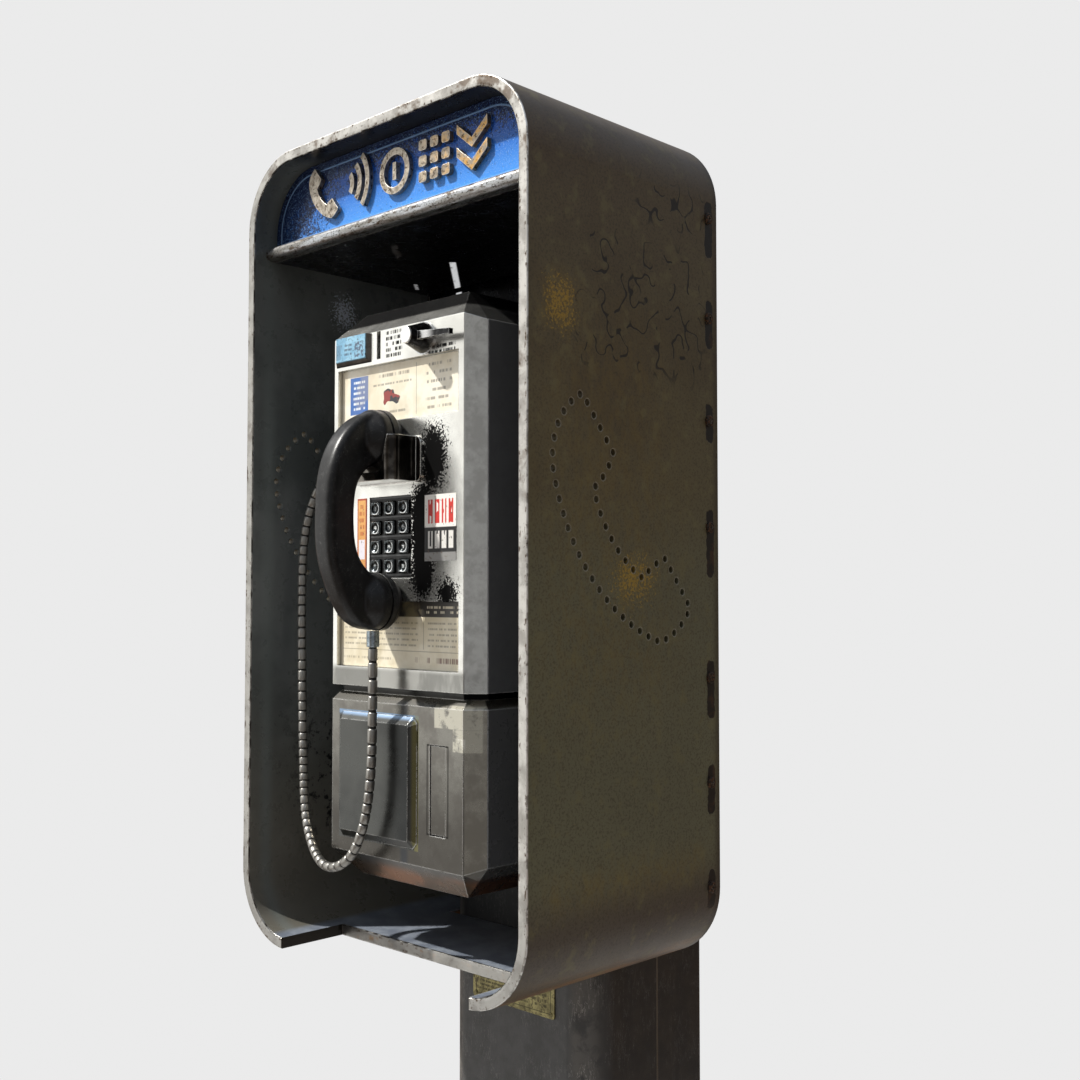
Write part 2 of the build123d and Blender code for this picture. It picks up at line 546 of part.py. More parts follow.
with BuildPart() as phone_backplate:
    block((-106, 106), (PHONE_BACK, POST_FRONT), (PHONE_BOTTOM + 33, PHONE_TOP - 33), corner=6)
    for spot in PHONE_BOLTS:
        rod(facing(POST_FRONT + 1), spot, BOLT_HOLE, 8, Mode.SUBTRACT)
    rod(facing(POST_FRONT + 1), wire_spot, WIRE_HOLE, 8, Mode.SUBTRACT)
finish(phone_backplate, "phone_backplate")

# ---------------------------------------------------------------- cards, label block, labels
with BuildPart() as upper_card:
    card_depth = (PHONE_FRONT + CARD_DEPTH - CARD_THICKNESS, PHONE_FRONT + CARD_DEPTH)
    gap = 0.5
    block(
        (UPPER_CARD_X[0] + gap, UPPER_CARD_X[1] - gap),
        card_depth,
        (UPPER_CARD_Z[0] + gap, UPPER_CARD_Z[1] - gap),
    )
finish(upper_card, "upper_card")

with BuildPart() as lower_card:
    block(
        (LOWER_CARD_X[0] + gap, LOWER_CARD_X[1] - gap),
        card_depth,
        (LOWER_CARD_Z[0] + gap, LOWER_CARD_Z[1] - gap),
    )
finish(lower_card, "lower_card")

with BuildPart() as label_block:
    block((-92.0, -37.0), (PHONE_FRONT - 4.7, PHONE_FRONT), (575.5, 603.5))
    rim = label_block.faces().sort_by(Axis.Y)[0].edges().sort_by(Axis.Z)[:-1]
    chamfer(rim, 4.6)
finish(label_block, "label_block")

with BuildPart() as labels:  # paper label beside the keypad, and a square sticker
    for label_x, label_z in (((-57.0, -43.0), (373.0, 443.0)), ((43.0, 86.0), (380.5, 441.5))):
        block(label_x, (PHONE_FRONT - 0.4, PHONE_FRONT), label_z)
finish(labels, "labels")

# ---------------------------------------------------------------- coin path
with BuildPart() as coin_guide:  # channel behind the slot
    guide_z = (SLOT_Z[0] - 1.6, SLOT_Z[1] - 2.5)  # open on top, under the housing's bevel
    block((SLOT_X[0] - 3, SLOT_X[1] + 3), (inside_front, CHUTE_DEPTH[0]), guide_z)
    block(SLOT_X, (inside_front - 1, CHUTE_DEPTH[0] + 1), SLOT_Z, mode=Mode.SUBTRACT)
finish(coin_guide, "coin_guide")

CHUTE_WALL = 2.0
with BuildPart() as coin_chute:
    chute_z = (LOWER_TOP - 20, SLOT_Z[1] + 6)
    block(CHUTE_X, CHUTE_DEPTH, chute_z)
    hollow_x = (CHUTE_X[0] + CHUTE_WALL, CHUTE_X[1] - CHUTE_WALL)
    hollow_depth = (CHUTE_DEPTH[0] + CHUTE_WALL, CHUTE_DEPTH[1] - CHUTE_WALL)
    block(hollow_x, hollow_depth, (chute_z[0] - 1, chute_z[1] - CHUTE_WALL), mode=Mode.SUBTRACT)
    block(SLOT_X, (CHUTE_DEPTH[0] - 1, CHUTE_DEPTH[0] + 3), SLOT_Z, mode=Mode.SUBTRACT)
finish(coin_chute, "coin_chute")

BOX_X, BOX_DEPTH, BOX_Z, BOX_WALL = (-76.0, 26.0), (52.0, 150.0), (92.0, 222.0), 1.6
with BuildPart() as coin_box:
    block(BOX_X, BOX_DEPTH, BOX_Z)
    hollow_x = (BOX_X[0] + BOX_WALL, BOX_X[1] - BOX_WALL)
    hollow_depth = (BOX_DEPTH[0] + BOX_WALL, BOX_DEPTH[1] - BOX_WALL)
    block(hollow_x, hollow_depth, (BOX_Z[0] + BOX_WALL, BOX_Z[1] + 1), mode=Mode.SUBTRACT)
    with BuildSketch(facing(BOX_DEPTH[0])):
        with Locations((-25, 170)):
            SlotOverall(60, 16)
            SlotOverall(50, 6, mode=Mode.SUBTRACT)
    extrude(amount=6)
finish(coin_box, "coin_box")

with BuildPart() as vault_door:
    middle = ((DOOR_X[0] + DOOR_X[1]) / 2, (DOOR_Z[0] + DOOR_Z[1]) / 2)
    with BuildSketch(facing(PHONE_FRONT - FIT)) as plate:
        with Locations(middle):
            Rectangle(DOOR_X[1] - DOOR_X[0], DOOR_Z[1] - DOOR_Z[0])
        chamfer(plate.vertices(), 6)
    extrude(amount=DOOR_RELIEF - FIT, taper=degrees(atan2(8, DOOR_RELIEF)))
    block(
        (DOOR_X[0] + DOOR_PLUG, DOOR_X[1] - DOOR_PLUG),
        (PHONE_FRONT - FIT, inside_front + 3),
        (DOOR_Z[0] + DOOR_PLUG, DOOR_Z[1] - DOOR_PLUG),
    )
finish(vault_door, "vault_door")

HINGE_DEPTH, HINGE_Z, HINGE_RADIUS = 37.6, 211.0, 1.5
CUP_X, CUP_BACK, CUP_Z = (47.0, 76.0), 95.0, (126.0, 218.0)
with BuildPart() as coin_return_flap:
    flap_x = (FLAP_X[0] + 0.4, FLAP_X[1] - 0.4)
    block(flap_x, (PHONE_FRONT + 0.8, PHONE_FRONT + 3.8), (FLAP_Z[0] + 0.9, FLAP_Z[1] - 0.5))
    block(flap_x, (PHONE_FRONT + 3, HINGE_DEPTH + 2), (HINGE_Z - 2.5, HINGE_Z + 1.5))
    rod(side(CUP_X[0] + 0.3), (HINGE_DEPTH, HINGE_Z), HINGE_RADIUS, CUP_X[1] - CUP_X[0] - 0.6)
finish(coin_return_flap, "coin_return_flap")

with BuildPart() as coin_return_cup:
    block(CUP_X, (inside_front, CUP_BACK), CUP_Z)
    cup_hollow = (CUP_X[0] + CHUTE_WALL, CUP_X[1] - CHUTE_WALL)
    cup_hollow_z = (CUP_Z[0] + CHUTE_WALL, CUP_Z[1] - CHUTE_WALL)
    block(cup_hollow, (inside_front - 1, CUP_BACK - CHUTE_WALL), cup_hollow_z, mode=Mode.SUBTRACT)
    rod(side(CUP_X[0] - 1), (HINGE_DEPTH, HINGE_Z), HINGE_RADIUS + 0.05, 40, Mode.SUBTRACT)
    block((55, 68), (70, CUP_BACK - CHUTE_WALL), (CUP_Z[1] - 4, CUP_Z[1] + 1), mode=Mode.SUBTRACT)
finish(coin_return_cup, "coin_return_cup")

# ---------------------------------------------------------------- coin release
BEZEL_THICKNESS, CONE_REACH = 1.5, 23.0
CONE_BASE, CONE_TIP, BLADE_TIP_X = 14.4, 7.3, 93.0
with BuildPart() as coin_release_bezel:
    with BuildSketch(facing(PHONE_FRONT)):
        with Locations((RELEASE_X, RELEASE_Z)):
            Circle(15.5)
            Circle(SHAFT_RADIUS + 0.4, mode=Mode.SUBTRACT)
    extrude(amount=BEZEL_THICKNESS)
finish(coin_release_bezel, "coin_release_bezel")

with BuildPart() as coin_release_lever:
    cone_length = CONE_REACH - BEZEL_THICKNESS - FIT
    with BuildSketch(facing(PHONE_FRONT - BEZEL_THICKNESS - FIT)):
        with Locations((RELEASE_X, RELEASE_Z)):
            Circle(CONE_BASE)
    extrude(amount=cone_length, taper=degrees(atan2(CONE_BASE - CONE_TIP, cone_length)))
    with BuildSketch(facing(PHONE_FRONT - 11)):
        with BuildLine():
            Polyline(
                (RELEASE_X, RELEASE_Z + 4), (BLADE_TIP_X, RELEASE_Z), (BLADE_TIP_X, RELEASE_Z - 5),
                (RELEASE_X, RELEASE_Z - 4), close=True,
            )
        make_face()
    extrude(amount=5)
    rod(facing(60), (RELEASE_X, RELEASE_Z), SHAFT_RADIUS, 60 - PHONE_FRONT + 5)
    block((RELEASE_X - 24, RELEASE_X), (55, 59), (RELEASE_Z - 4, RELEASE_Z + 4), corner=2)
finish(coin_release_lever, "coin_release_lever")

with BuildPart() as release_spring:  # close-wound spring round the shaft, one ring a turn
    for turn in range(5):
        with Locations(Plane(origin=place(RELEASE_X, 38 + 2 * turn, RELEASE_Z), z_dir=(0, -1, 0))):
            Torus(6.5, 0.9)
finish(release_spring, "release_spring")

# ---------------------------------------------------------------- keypad
BEZEL_DEPTH = (PHONE_FRONT + 1.0, inside_front)
key_spots = [
    (KEYPAD_CENTRE[0] + column * KEY_PITCH_X, KEYPAD_CENTRE[1] - row * KEY_PITCH_Z)
    for row in (-1.5, -0.5, 0.5, 1.5)
    for column in (-1, 0, 1)
]
KEY_NAMES = ("1", "2", "3", "4", "5", "6", "7", "8", "9", "star", "0", "hash")
KEY_GAP = 0.4
with BuildPart() as keypad_bezel:
    bezel_x = (KEYPAD_X[0] + FIT, KEYPAD_X[1] - FIT)
    bezel_z = (KEYPAD_Z[0] + FIT, KEYPAD_Z[1] - FIT)
    block(bezel_x, BEZEL_DEPTH, bezel_z, corner=2)
    with BuildSketch(facing(inside_front + 1)):
        with Locations(*key_spots):
            RectangleRounded(KEY_WIDTH + 2 * KEY_GAP, KEY_HEIGHT + 2 * KEY_GAP, 2.4)
    extrude(amount=8, mode=Mode.SUBTRACT)
finish(keypad_bezel, "keypad_bezel")

KEY_FACE = PHONE_FRONT - 2.0
STEM_END, DOME_HEIGHT = inside_front + 3.2, 1.2
for name, (x, z) in zip(KEY_NAMES, key_spots):
    with BuildPart() as key:
        with BuildSketch(facing(inside_front + 0.5)):
            with Locations((x, z)):
                RectangleRounded(KEY_WIDTH, KEY_HEIGHT, 2)
        extrude(amount=inside_front + 0.5 - KEY_FACE)
        chamfer(key.faces().sort_by(Axis.Y)[0].edges(), 1.2)
        dish_radius, dish_depth = 5.0, 0.9
        ball = (dish_radius**2 + dish_depth**2) / (2 * dish_depth)
        with Locations(place(x, KEY_FACE + dish_depth - ball, z)):
            Sphere(ball, mode=Mode.SUBTRACT)
        half = KEY_WIDTH / 2 + 1.2
        tall = KEY_HEIGHT / 2 + 1.0
        block((x - half, x + half), (inside_front + 0.4, inside_front + 1.9), (z - tall, z + tall))
        rod(facing(STEM_END), (x, z), 2.5, 2)
    finish(key, f"key_{name}")

with BuildPart() as keypad_board:
    board_depth = STEM_END + KEY_TRAVEL + DOME_HEIGHT + FIT
    block((KEYPAD_X[0] - 3, KEYPAD_X[1] + 3), (board_depth, board_depth + 1.6), KEYPAD_Z)
    with BuildSketch(facing(board_depth)):
        with Locations(*key_spots):
            Circle(3.5)
    extrude(amount=DOME_HEIGHT)
    for x in KEYPAD_X:
        for z in (KEYPAD_Z[0] - 6, KEYPAD_Z[1] - 4):
            rod(facing(board_depth), (x, z + 5), 1.8, board_depth - inside_front)
finish(keypad_board, "keypad_board")

# ---------------------------------------------------------------- cradle and hook switch
FLANGE_HALF, CUP_HALF, CUP_FRONT = 48.0, 41.0, -3.0
CRADLE_Z = (454.0, 498.0)
CRADLE_FLANGE = 3.0
flange_front = PHONE_FRONT - CRADLE_FLANGE
with BuildPart() as cradle:
    cradle_x = (HANDSET_X - FLANGE_HALF, HANDSET_X + FLANGE_HALF)
    block(cradle_x, (flange_front, PHONE_FRONT), CRADLE_Z, corner=9)
    cup_x = (HANDSET_X - CUP_HALF, HANDSET_X + CUP_HALF)
    with BuildSketch(level(CRADLE_Z[0] + 1)) as plan:
        with Locations((HANDSET_X, (CUP_FRONT + flange_front) / 2)):
            Rectangle(2 * CUP_HALF, flange_front - CUP_FRONT)
        fillet(plan.vertices().group_by(Axis.Y)[0], 11)
    extrude(amount=CRADLE_Z[1] - CRADLE_Z[0] - 2)
    seat_radius = CAP_RADIUS + 2
    rod(facing(flange_front), (HANDSET_X, EAR_Z), seat_radius, flange_front - 2, Mode.SUBTRACT)
    with BuildSketch(facing(3)) as lip_notch:
        with BuildLine():
            Polyline(
                (HANDSET_X - 27, 463), (HANDSET_X + 27, 463), (HANDSET_X + 35, 500),
                (HANDSET_X - 35, 500), close=True,
            )
        make_face()
        fillet(lip_notch.vertices().group_by(Axis.Y)[0], 9)
    extrude(amount=10, mode=Mode.SUBTRACT)
    block(LEVER_SLOT_X, (5, PHONE_FRONT + 1), (461, LEVER_SLOT_Z[1]), mode=Mode.SUBTRACT)
finish(cradle, "cradle")

PIVOT_DEPTH, PIVOT_Z, PIVOT_RADIUS = 43.0, 465.0, 2.0
with BuildPart() as hook_lever:
    block((-13, -3), (8, 48), (462.5, 466.8))
    block((-14, -2), (7, 22), (462.5, 467.4))
    rod(side(-23), (PIVOT_DEPTH, PIVOT_Z), PIVOT_RADIUS, 30)
finish(hook_lever, "hook_lever")

with BuildPart() as hook_switch:  # bracket with two ears, and the switch under the lever's tail
    block((-26, 10), (inside_front, inside_front + 2), (444, 457.5))
    for ear_x in ((-22, -18), (2, 6)):
        block(ear_x, (inside_front, 50), (446, 471))
    rod(side(-30), (PIVOT_DEPTH, PIVOT_Z), PIVOT_RADIUS + 0.05, 44, Mode.SUBTRACT)
    block((-17, 1), (41, 57), (445, 458))
    block((-18.5, 2.5), (inside_front, 48), (446, 450))
finish(hook_switch, "hook_switch")

# ---------------------------------------------------------------- handset
GRIP_HALF = 13.0
CAP_SEAM = 14.0
with BuildPart() as handset_body:
    with BuildSketch(side(HANDSET_X - GRIP_HALF)) as grip:
        with BuildLine():
            Spline(
                (CAP_SEAM - 3, 522.5), (-12.6, 514), (-35.4, 491.5), (-48.5, 455.7), (-50.5, 423),
                (-48.8, 388), (-37.6, 354), (-20, 327), (CAP_SEAM - 3, 317.5),
            )
            Line((CAP_SEAM - 3, 317.5), (CAP_SEAM - 3, 366))
            Spline(
                (CAP_SEAM - 3, 366), (-4, 374), (-15, 390), (-18.5, 408), (-18.5, 434), (-15, 451),
                (-4, 466), (CAP_SEAM - 3, 474),
            )
            Line((CAP_SEAM - 3, 474), (CAP_SEAM - 3, 522.5))
        make_face()
    extrude(amount=2 * GRIP_HALF)
    long_edges = handset_body.edges().filter_by(GeomType.BSPLINE)
    fillet(long_edges, 7)
    for z in (EAR_Z, MOUTH_Z):
        with BuildSketch(facing(CAP_SEAM)):
            with Locations((HANDSET_X, z)):
                Circle(CAP_RADIUS - 0.5)
        extrude(amount=10)
        with BuildSketch(facing(CAP_SEAM - 10)):
            with Locations((HANDSET_X, z)):
                Circle(CAP_RADIUS - 0.5)
        extrude(amount=12, taper=38)
        rod(facing(CAP_SEAM + 1), (HANDSET_X, z), 21, 12, Mode.SUBTRACT)
    rod(level(MOUTH_Z - CAP_RADIUS - 1), (HANDSET_X, 8), 3.2, 8, Mode.SUBTRACT)
finish(handset_body, "handset_body")

for cap_name, z in (("ear_cap", EAR_Z), ("mouth_cap", MOUTH_Z)):
    with BuildPart() as cap:
        with BuildSketch(facing(CAP_SEAM)):
            with Locations((HANDSET_X, z)):
                Circle(CAP_RADIUS)
        extrude(amount=-6)
        with BuildSketch(facing(CAP_SEAM + 6)):
            with Locations((HANDSET_X, z)):
                Circle(CAP_RADIUS)
        extrude(amount=-7, taper=33)
        rod(facing(CAP_SEAM + 10), (HANDSET_X, z), 21, 12, Mode.SUBTRACT)
        with BuildSketch(facing(CAP_SEAM + 14)):
            with Locations((HANDSET_X, z)):
                Circle(1.2)
                for ring_radius, count in ((6, 6), (12, 12)):
                    with PolarLocations(ring_radius, count):
                        Circle(1.2)
        extrude(amount=6, mode=Mode.SUBTRACT)
    finish(cap, cap_name)

for capsule_name, z, thickness in (("receiver_capsule", EAR_Z, 14), ("transmitter_capsule", MOUTH_Z, 10)):
    with BuildPart() as capsule:
        rod(facing(CAP_SEAM + 9.5), (HANDSET_X, z), 20, thickness)
        rod(facing(CAP_SEAM + 9.5 - thickness), (HANDSET_X, z), 12, 4)
    finish(capsule, capsule_name)

RELIEF_TOP = MOUTH_Z - CAP_RADIUS - 0.2
with BuildPart() as strain_relief:
    relief_foot = CORD_END[2] + FIT
    rod(level(relief_foot), CORD_END[:2], 6.0, RELIEF_TOP - relief_foot)
    fillet(strain_relief.faces().sort_by(Axis.Z)[0].edges(), 1)
finish(strain_relief, "strain_relief")

# ---------------------------------------------------------------- armoured cord and its gland
slant = 1 / sqrt(2)
gland_mouth = (GLAND_FACE[0] - GLAND_REACH * slant, GLAND_FACE[1], GLAND_FACE[2] - GLAND_REACH * slant)
CORD_ROUTE = [
    gland_mouth, (-149, 56, 469.96), (-163.5, 50, 440), (-170, 46, 398), (-166.5, 43, 330),
    (-158, 38.5, 245), (-150.5, 35, 180), (-139, 29, 128), (-115, 21.5, 98.1), (-85.6, 13, 86.1),
    (-58.1, 9.5, 89.1), (-33.1, 9, 104.8), (-16.6, 9.5, 136.8), (-9.2, 10.5, 180), (-9.5, 12, 232),
    CORD_END,
]
route = [place(*point) for point in CORD_ROUTE]
runs = [b - a for a, b in zip(route, route[1:])]
cord_radii = [
    0.45 * min(a.length, b.length) / tan(radians(a.get_angle(b) / 2))
    for a, b in zip(runs, runs[1:])
]
with BuildPart() as cord:
    with BuildLine() as cord_line:
        FilletPolyline(*route, radius=cord_radii)
    start = cord_line.wires()[0] ^ 0
    with BuildSketch(Plane(origin=start.position, z_dir=cord_line.wires()[0] % 0)):
        Circle(CORD_RADIUS)
    sweep(path=cord_line.wires()[0])
finish(cord, "cord")
cord_length = cord_line.wires()[0].length
print("cord bend radii", [round(radius) for radius in cord_radii])
print("cord length", round(cord_length), "volume ratio",
      round(cord.part.volume / (pi * CORD_RADIUS**2 * cord_length), 4))

with BuildPart() as cord_gland:
    mouth_plane = Plane(origin=place(*gland_mouth), z_dir=(1, 0, 1))
    with BuildSketch(mouth_plane):
        Circle(7)
    extrude(amount=GLAND_REACH + 3)
    with BuildSketch(mouth_plane.offset(7)):
        RegularPolygon(radius=10, side_count=6)
    extrude(amount=8)
    rod(side(-PHONE_HALF_WIDTH - 4), (GLAND_FACE[1], GLAND_FACE[2]), 9.5, 4)
    with BuildSketch(side(-PHONE_HALF_WIDTH)):
        Rectangle(2000, 4000)
    extrude(amount=50, mode=Mode.SUBTRACT)
finish(cord_gland, "cord_gland")

# ---------------------------------------------------------------- electronics and locks
with BuildPart() as circuit_board:
    board_x, board_z, board_depth = (15.0, 90.0), (300.0, 540.0), (128.0, 129.6)
    block(board_x, board_depth, board_z)
    for x in (board_x[0] + 6, board_x[1] - 6):
        for z in (board_z[0] + 6, board_z[1] - 30):
            rod(facing(PHONE_BACK), (x, z), 3, PHONE_BACK - board_depth[1])
    for chip_x, chip_z, chip_height in ((30, 340, 9), (60, 340, 14), (40, 400, 6), (65, 460, 18)):
        chip = ((chip_x - 10, chip_x + 10), (chip_z - 14, chip_z + 14))
        block(chip[0], (board_depth[0] - chip_height, board_depth[0]), chip[1])
finish(circuit_board, "circuit_board")

for lock_name, z in (("housing_lock", UPPER_LOCK_Z), ("vault_lock", VAULT_LOCK_Z)):
    with BuildPart() as lock:
        rod(side(PHONE_HALF_WIDTH - 8), (LOCK_DEPTH, z), LOCK_RADIUS, 11)
        fillet(lock.faces().sort_by(Axis.X)[-1].edges(), 1)
        with BuildSketch(side(PHONE_HALF_WIDTH + 4)):
            with Locations((LOCK_DEPTH, z)):
                Circle(2.4)
                with Locations((0, -3.5)):
                    Rectangle(1.8, 6)
        extrude(amount=-7, mode=Mode.SUBTRACT)
        with BuildSketch(side(PHONE_HALF_WIDTH - 11)):
            with Locations((LOCK_DEPTH, z - 9)):
                SlotOverall(32, 12, rotation=90)
        extrude(amount=3)
    finish(lock, lock_name)
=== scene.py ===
"""Looks of the pedestal payphone: finishes, moulded handset, armoured cord, key figures, light, camera."""
import random
from math import cos, pi, radians, sin

import bpy
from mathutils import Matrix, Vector


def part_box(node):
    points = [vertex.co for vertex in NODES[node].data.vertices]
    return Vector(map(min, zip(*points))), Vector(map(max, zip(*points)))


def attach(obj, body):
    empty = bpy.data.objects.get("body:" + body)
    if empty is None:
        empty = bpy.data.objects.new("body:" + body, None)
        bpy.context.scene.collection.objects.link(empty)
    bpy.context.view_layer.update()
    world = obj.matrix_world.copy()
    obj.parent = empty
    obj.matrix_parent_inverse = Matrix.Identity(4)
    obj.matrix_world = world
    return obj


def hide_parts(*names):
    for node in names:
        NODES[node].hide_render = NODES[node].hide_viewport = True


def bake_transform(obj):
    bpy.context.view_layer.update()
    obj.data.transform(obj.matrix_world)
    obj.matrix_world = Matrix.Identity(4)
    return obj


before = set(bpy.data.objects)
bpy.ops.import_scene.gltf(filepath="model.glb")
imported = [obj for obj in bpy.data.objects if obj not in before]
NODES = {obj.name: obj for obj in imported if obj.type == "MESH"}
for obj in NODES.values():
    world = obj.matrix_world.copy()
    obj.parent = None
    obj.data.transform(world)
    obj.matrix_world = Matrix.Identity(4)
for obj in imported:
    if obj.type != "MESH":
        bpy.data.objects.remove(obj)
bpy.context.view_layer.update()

# The part's origin lies this far behind the hood's front edge and below the hood's underside, in mm.
ORIGIN_DEPTH, ORIGIN_HEIGHT = 281.5, 740.0
HOOD_HALF_WIDTH, HOOD_HALF_HEIGHT, HOOD_CORNER = 205.5, 400.0, 72.0
random.seed(7)


# ---------------------------------------------------------------- node graphs
def hue(code):
    """Linear RGBA of a six-digit screen colour; any other colour is passed on as it is."""
    if not isinstance(code, str):
        return code
    parts = [int(code[i : i + 2], 16) / 255 for i in (0, 2, 4)]
    return (*[p / 12.92 if p < 0.04 else ((p + 0.055) / 1.055) ** 2.4 for p in parts], 1.0)


class Value:
    """A number in a node graph, open to arithmetic."""

    def __init__(self, graph, socket):
        self.graph, self.socket = graph, socket

    def __add__(self, other):
        return self.graph.math("ADD", self, other)

    def __sub__(self, other):
        return self.graph.math("SUBTRACT", self, other)

    def __rsub__(self, other):
        return self.graph.math("SUBTRACT", other, self)

    def __mul__(self, other):
        return self.graph.math("MULTIPLY", self, other)

    def __truediv__(self, other):
        return self.graph.math("DIVIDE", self, other)

    def __abs__(self):
        return self.graph.math("ABSOLUTE", self)

    def most(self, other):
        return self.graph.math("MAXIMUM", self, other)

    def least(self, other):
        return self.graph.math("MINIMUM", self, other)

    def rise(self, low, high):
        """0 at low and 1 at high, smoothly; low may be the larger."""
        settings = {"interpolation_type": "SMOOTHSTEP"}
        node = self.graph.add("ShaderNodeMapRange", settings, Value=self, From_Min=low, From_Max=high)
        return Value(self.graph, node.outputs[0])

    def band(self, low, high, soft=0.3):
        """1 between low and high."""
        return self.rise(low - soft, low + soft) * self.rise(high + soft, high - soft)


class Graph:
    """A node tree in the making.

    x, depth and height are in mm: right of the middle, behind the hood's front, above the hood's underside.
    """

    def __init__(self, tree):
        self.tree = tree
        tree.nodes.clear()
        self.ends = self.add("ShaderNodeTexCoord").outputs
        self.place = self.ends["Object"]
        x, y, z = self.split(self.place)
        self.x, self.depth, self.height = x * 1000, y * 1000 + ORIGIN_DEPTH, z * 1000 - ORIGIN_HEIGHT
        self.seeds = 0

    def add(self, kind, settings=None, **inputs):
        node = self.tree.nodes.new(kind)
        for key, value in (settings or {}).items():
            setattr(node, key, value)
        for key, value in inputs.items():
            self.feed(node.inputs[key.replace("_", " ")], value)
        return node

    def feed(self, entry, value):
        if isinstance(value, (Value, bpy.types.NodeSocket)):
            self.tree.links.new(getattr(value, "socket", value), entry)
        else:
            entry.default_value = value

    def math(self, operation, *values):
        node = self.add("ShaderNodeMath", {"operation": operation})
        for entry, value in zip(node.inputs, values):
            self.feed(entry, value)
        return Value(self, node.outputs[0])

    def dot(self, one, other):
        node = self.add("ShaderNodeVectorMath", {"operation": "DOT_PRODUCT"})
        self.feed(node.inputs[0], one)
        self.feed(node.inputs[1], other)
        return Value(self, node.outputs["Value"])

    def reach(self, across, up):
        """Length of the diagonal of across and up."""
        return self.math("SQRT", self.math("POWER", across, 2) + self.math("POWER", up, 2))

    def split(self, vector):
        node = self.add("ShaderNodeSeparateXYZ", Vector=vector)
        return [Value(self, out) for out in node.outputs]

    def noise(self, size, detail=3.0, rough=0.6, stretch=(1, 1, 1), vector=None):
        """Fractal noise about 0.5 with features about size mm across, longer where stretch is small."""
        self.seeds += 1
        shift = (3.1 * self.seeds, 1.7 * self.seeds, 2.3 * self.seeds)
        spot = self.add("ShaderNodeMapping", Vector=vector or self.place, Location=shift, Scale=stretch)
        settings = dict(Scale=1000 / size, Detail=detail, Roughness=rough)
        return Value(self, self.add("ShaderNodeTexNoise", Vector=spot.outputs[0], **settings).outputs[0])

    def specks(self, size, level, stretch=(1, 1, 1)):
        """Hard-edged specks where the noise passes level, so a higher level leaves fewer."""
        return self.noise(size, 4.0, 0.75, stretch).rise(level - 0.02, level + 0.02)

    def patch(self, across, up, soft=0.4, flat=None):
        """1 inside the rectangle across by up, given in x (or flat) and height."""
        return (self.x if flat is None else flat).band(*across, soft) * self.height.band(*up, soft)

    def writing(self, across, up, pitch, word=3.0, fill=0.5):
        """Rows of dashes and gaps that stand for print and can't be read."""
        rows = (self.height - up[0]) / pitch
        line = self.math("FRACT", rows).band(0.3, 0.3 + fill, 0.08)
        spot = self.add("ShaderNodeCombineXYZ", X=self.x / 1000, Y=self.math("FLOOR", rows))
        words = self.noise(word, 1.0, 0.5, vector=spot.outputs[0]).rise(0.42, 0.46)
        letters = self.noise(word / 5, 0.0, 0.5, vector=spot.outputs[0]).rise(0.36, 0.44)
        return line * words * letters * self.patch(across, up)

    def mix(self, under, over, mask):
        node = self.add("ShaderNodeMix", {"data_type": "RGBA"})
        self.feed(node.inputs[0], mask)
        self.feed(node.inputs[6], hue(under))  # the colour sockets come after those for numbers and vectors
        self.feed(node.inputs[7], hue(over))
        return node.outputs[2]

    def coats(self, colour, *layers):
        """colour with each (mask, colour) laid over it in turn."""
        for mask, over in layers:
            colour = self.mix(colour, over, mask)
        return colour

    def rounded(self, radius):
        """Normal that turns round corners, as a radius in mm would."""
        return self.add("ShaderNodeBevel", {"samples": 4}, Radius=radius / 1000).outputs[0]

    def edges(self, radius):
        """1 at corners, fading to 0 about radius mm away."""
        facing = self.add("ShaderNodeNewGeometry").outputs["Normal"]
        return self.dot(self.rounded(radius), facing).rise(0.995, 0.86)


def finish(name, nodes, build):
    """Makes the material that build(graph) describes and puts it on the CAD nodes named, or on pieces."""
    material = bpy.data.materials.new(name)
    material.use_nodes = True
    graph = Graph(material.node_tree)
    look = dict(metallic=0.0, roughness=0.5, bump=0.5, relief=0.1, corner=0.6, specular=0.5, coat=0.0)
    look.update(build(graph))
    bump = graph.add("ShaderNodeBump", Height=look["bump"], Distance=look["relief"] / 1000, Strength=1.0)
    if look["corner"]:
        graph.feed(bump.inputs["Normal"], graph.rounded(look["corner"]))
    shader = graph.add(
        "ShaderNodeBsdfPrincipled",
        Base_Color=look["colour"],
        Metallic=look["metallic"],
        Roughness=look["roughness"],
        Specular_IOR_Level=look["specular"],
        Coat_Weight=look["coat"],
        Coat_Roughness=0.12,
        Normal=bump.outputs[0],
    )
    if "glow" in look:
        graph.feed(shader.inputs["Emission Color"], look["colour"])
        graph.feed(shader.inputs["Emission Strength"], look["glow"])
    graph.add("ShaderNodeOutputMaterial", Surface=shader.outputs[0])
    for node in nodes:
        piece = NODES[node] if isinstance(node, str) else node
        piece.data.materials.clear()
        piece.data.materials.append(material)
    return material


# ---------------------------------------------------------------- finishes of the hood and the post
SCREW_HEIGHTS = (74, 172, 271, 414, 516, 615, 712)  # the flange screws, above the hood's underside


def hood_skin(g, half_width=HOOD_HALF_WIDTH):
    """Distance outwards from the hood's outer surface, in mm: 0 on it and -10.6 on the inner surface."""
    across = abs(g.x) - (half_width - HOOD_CORNER)
    up = abs(g.height - HOOD_HALF_HEIGHT) - (HOOD_HALF_HEIGHT - HOOD_CORNER)
    return g.reach(across.most(0), up.most(0)) + across.most(up).least(0) - HOOD_CORNER


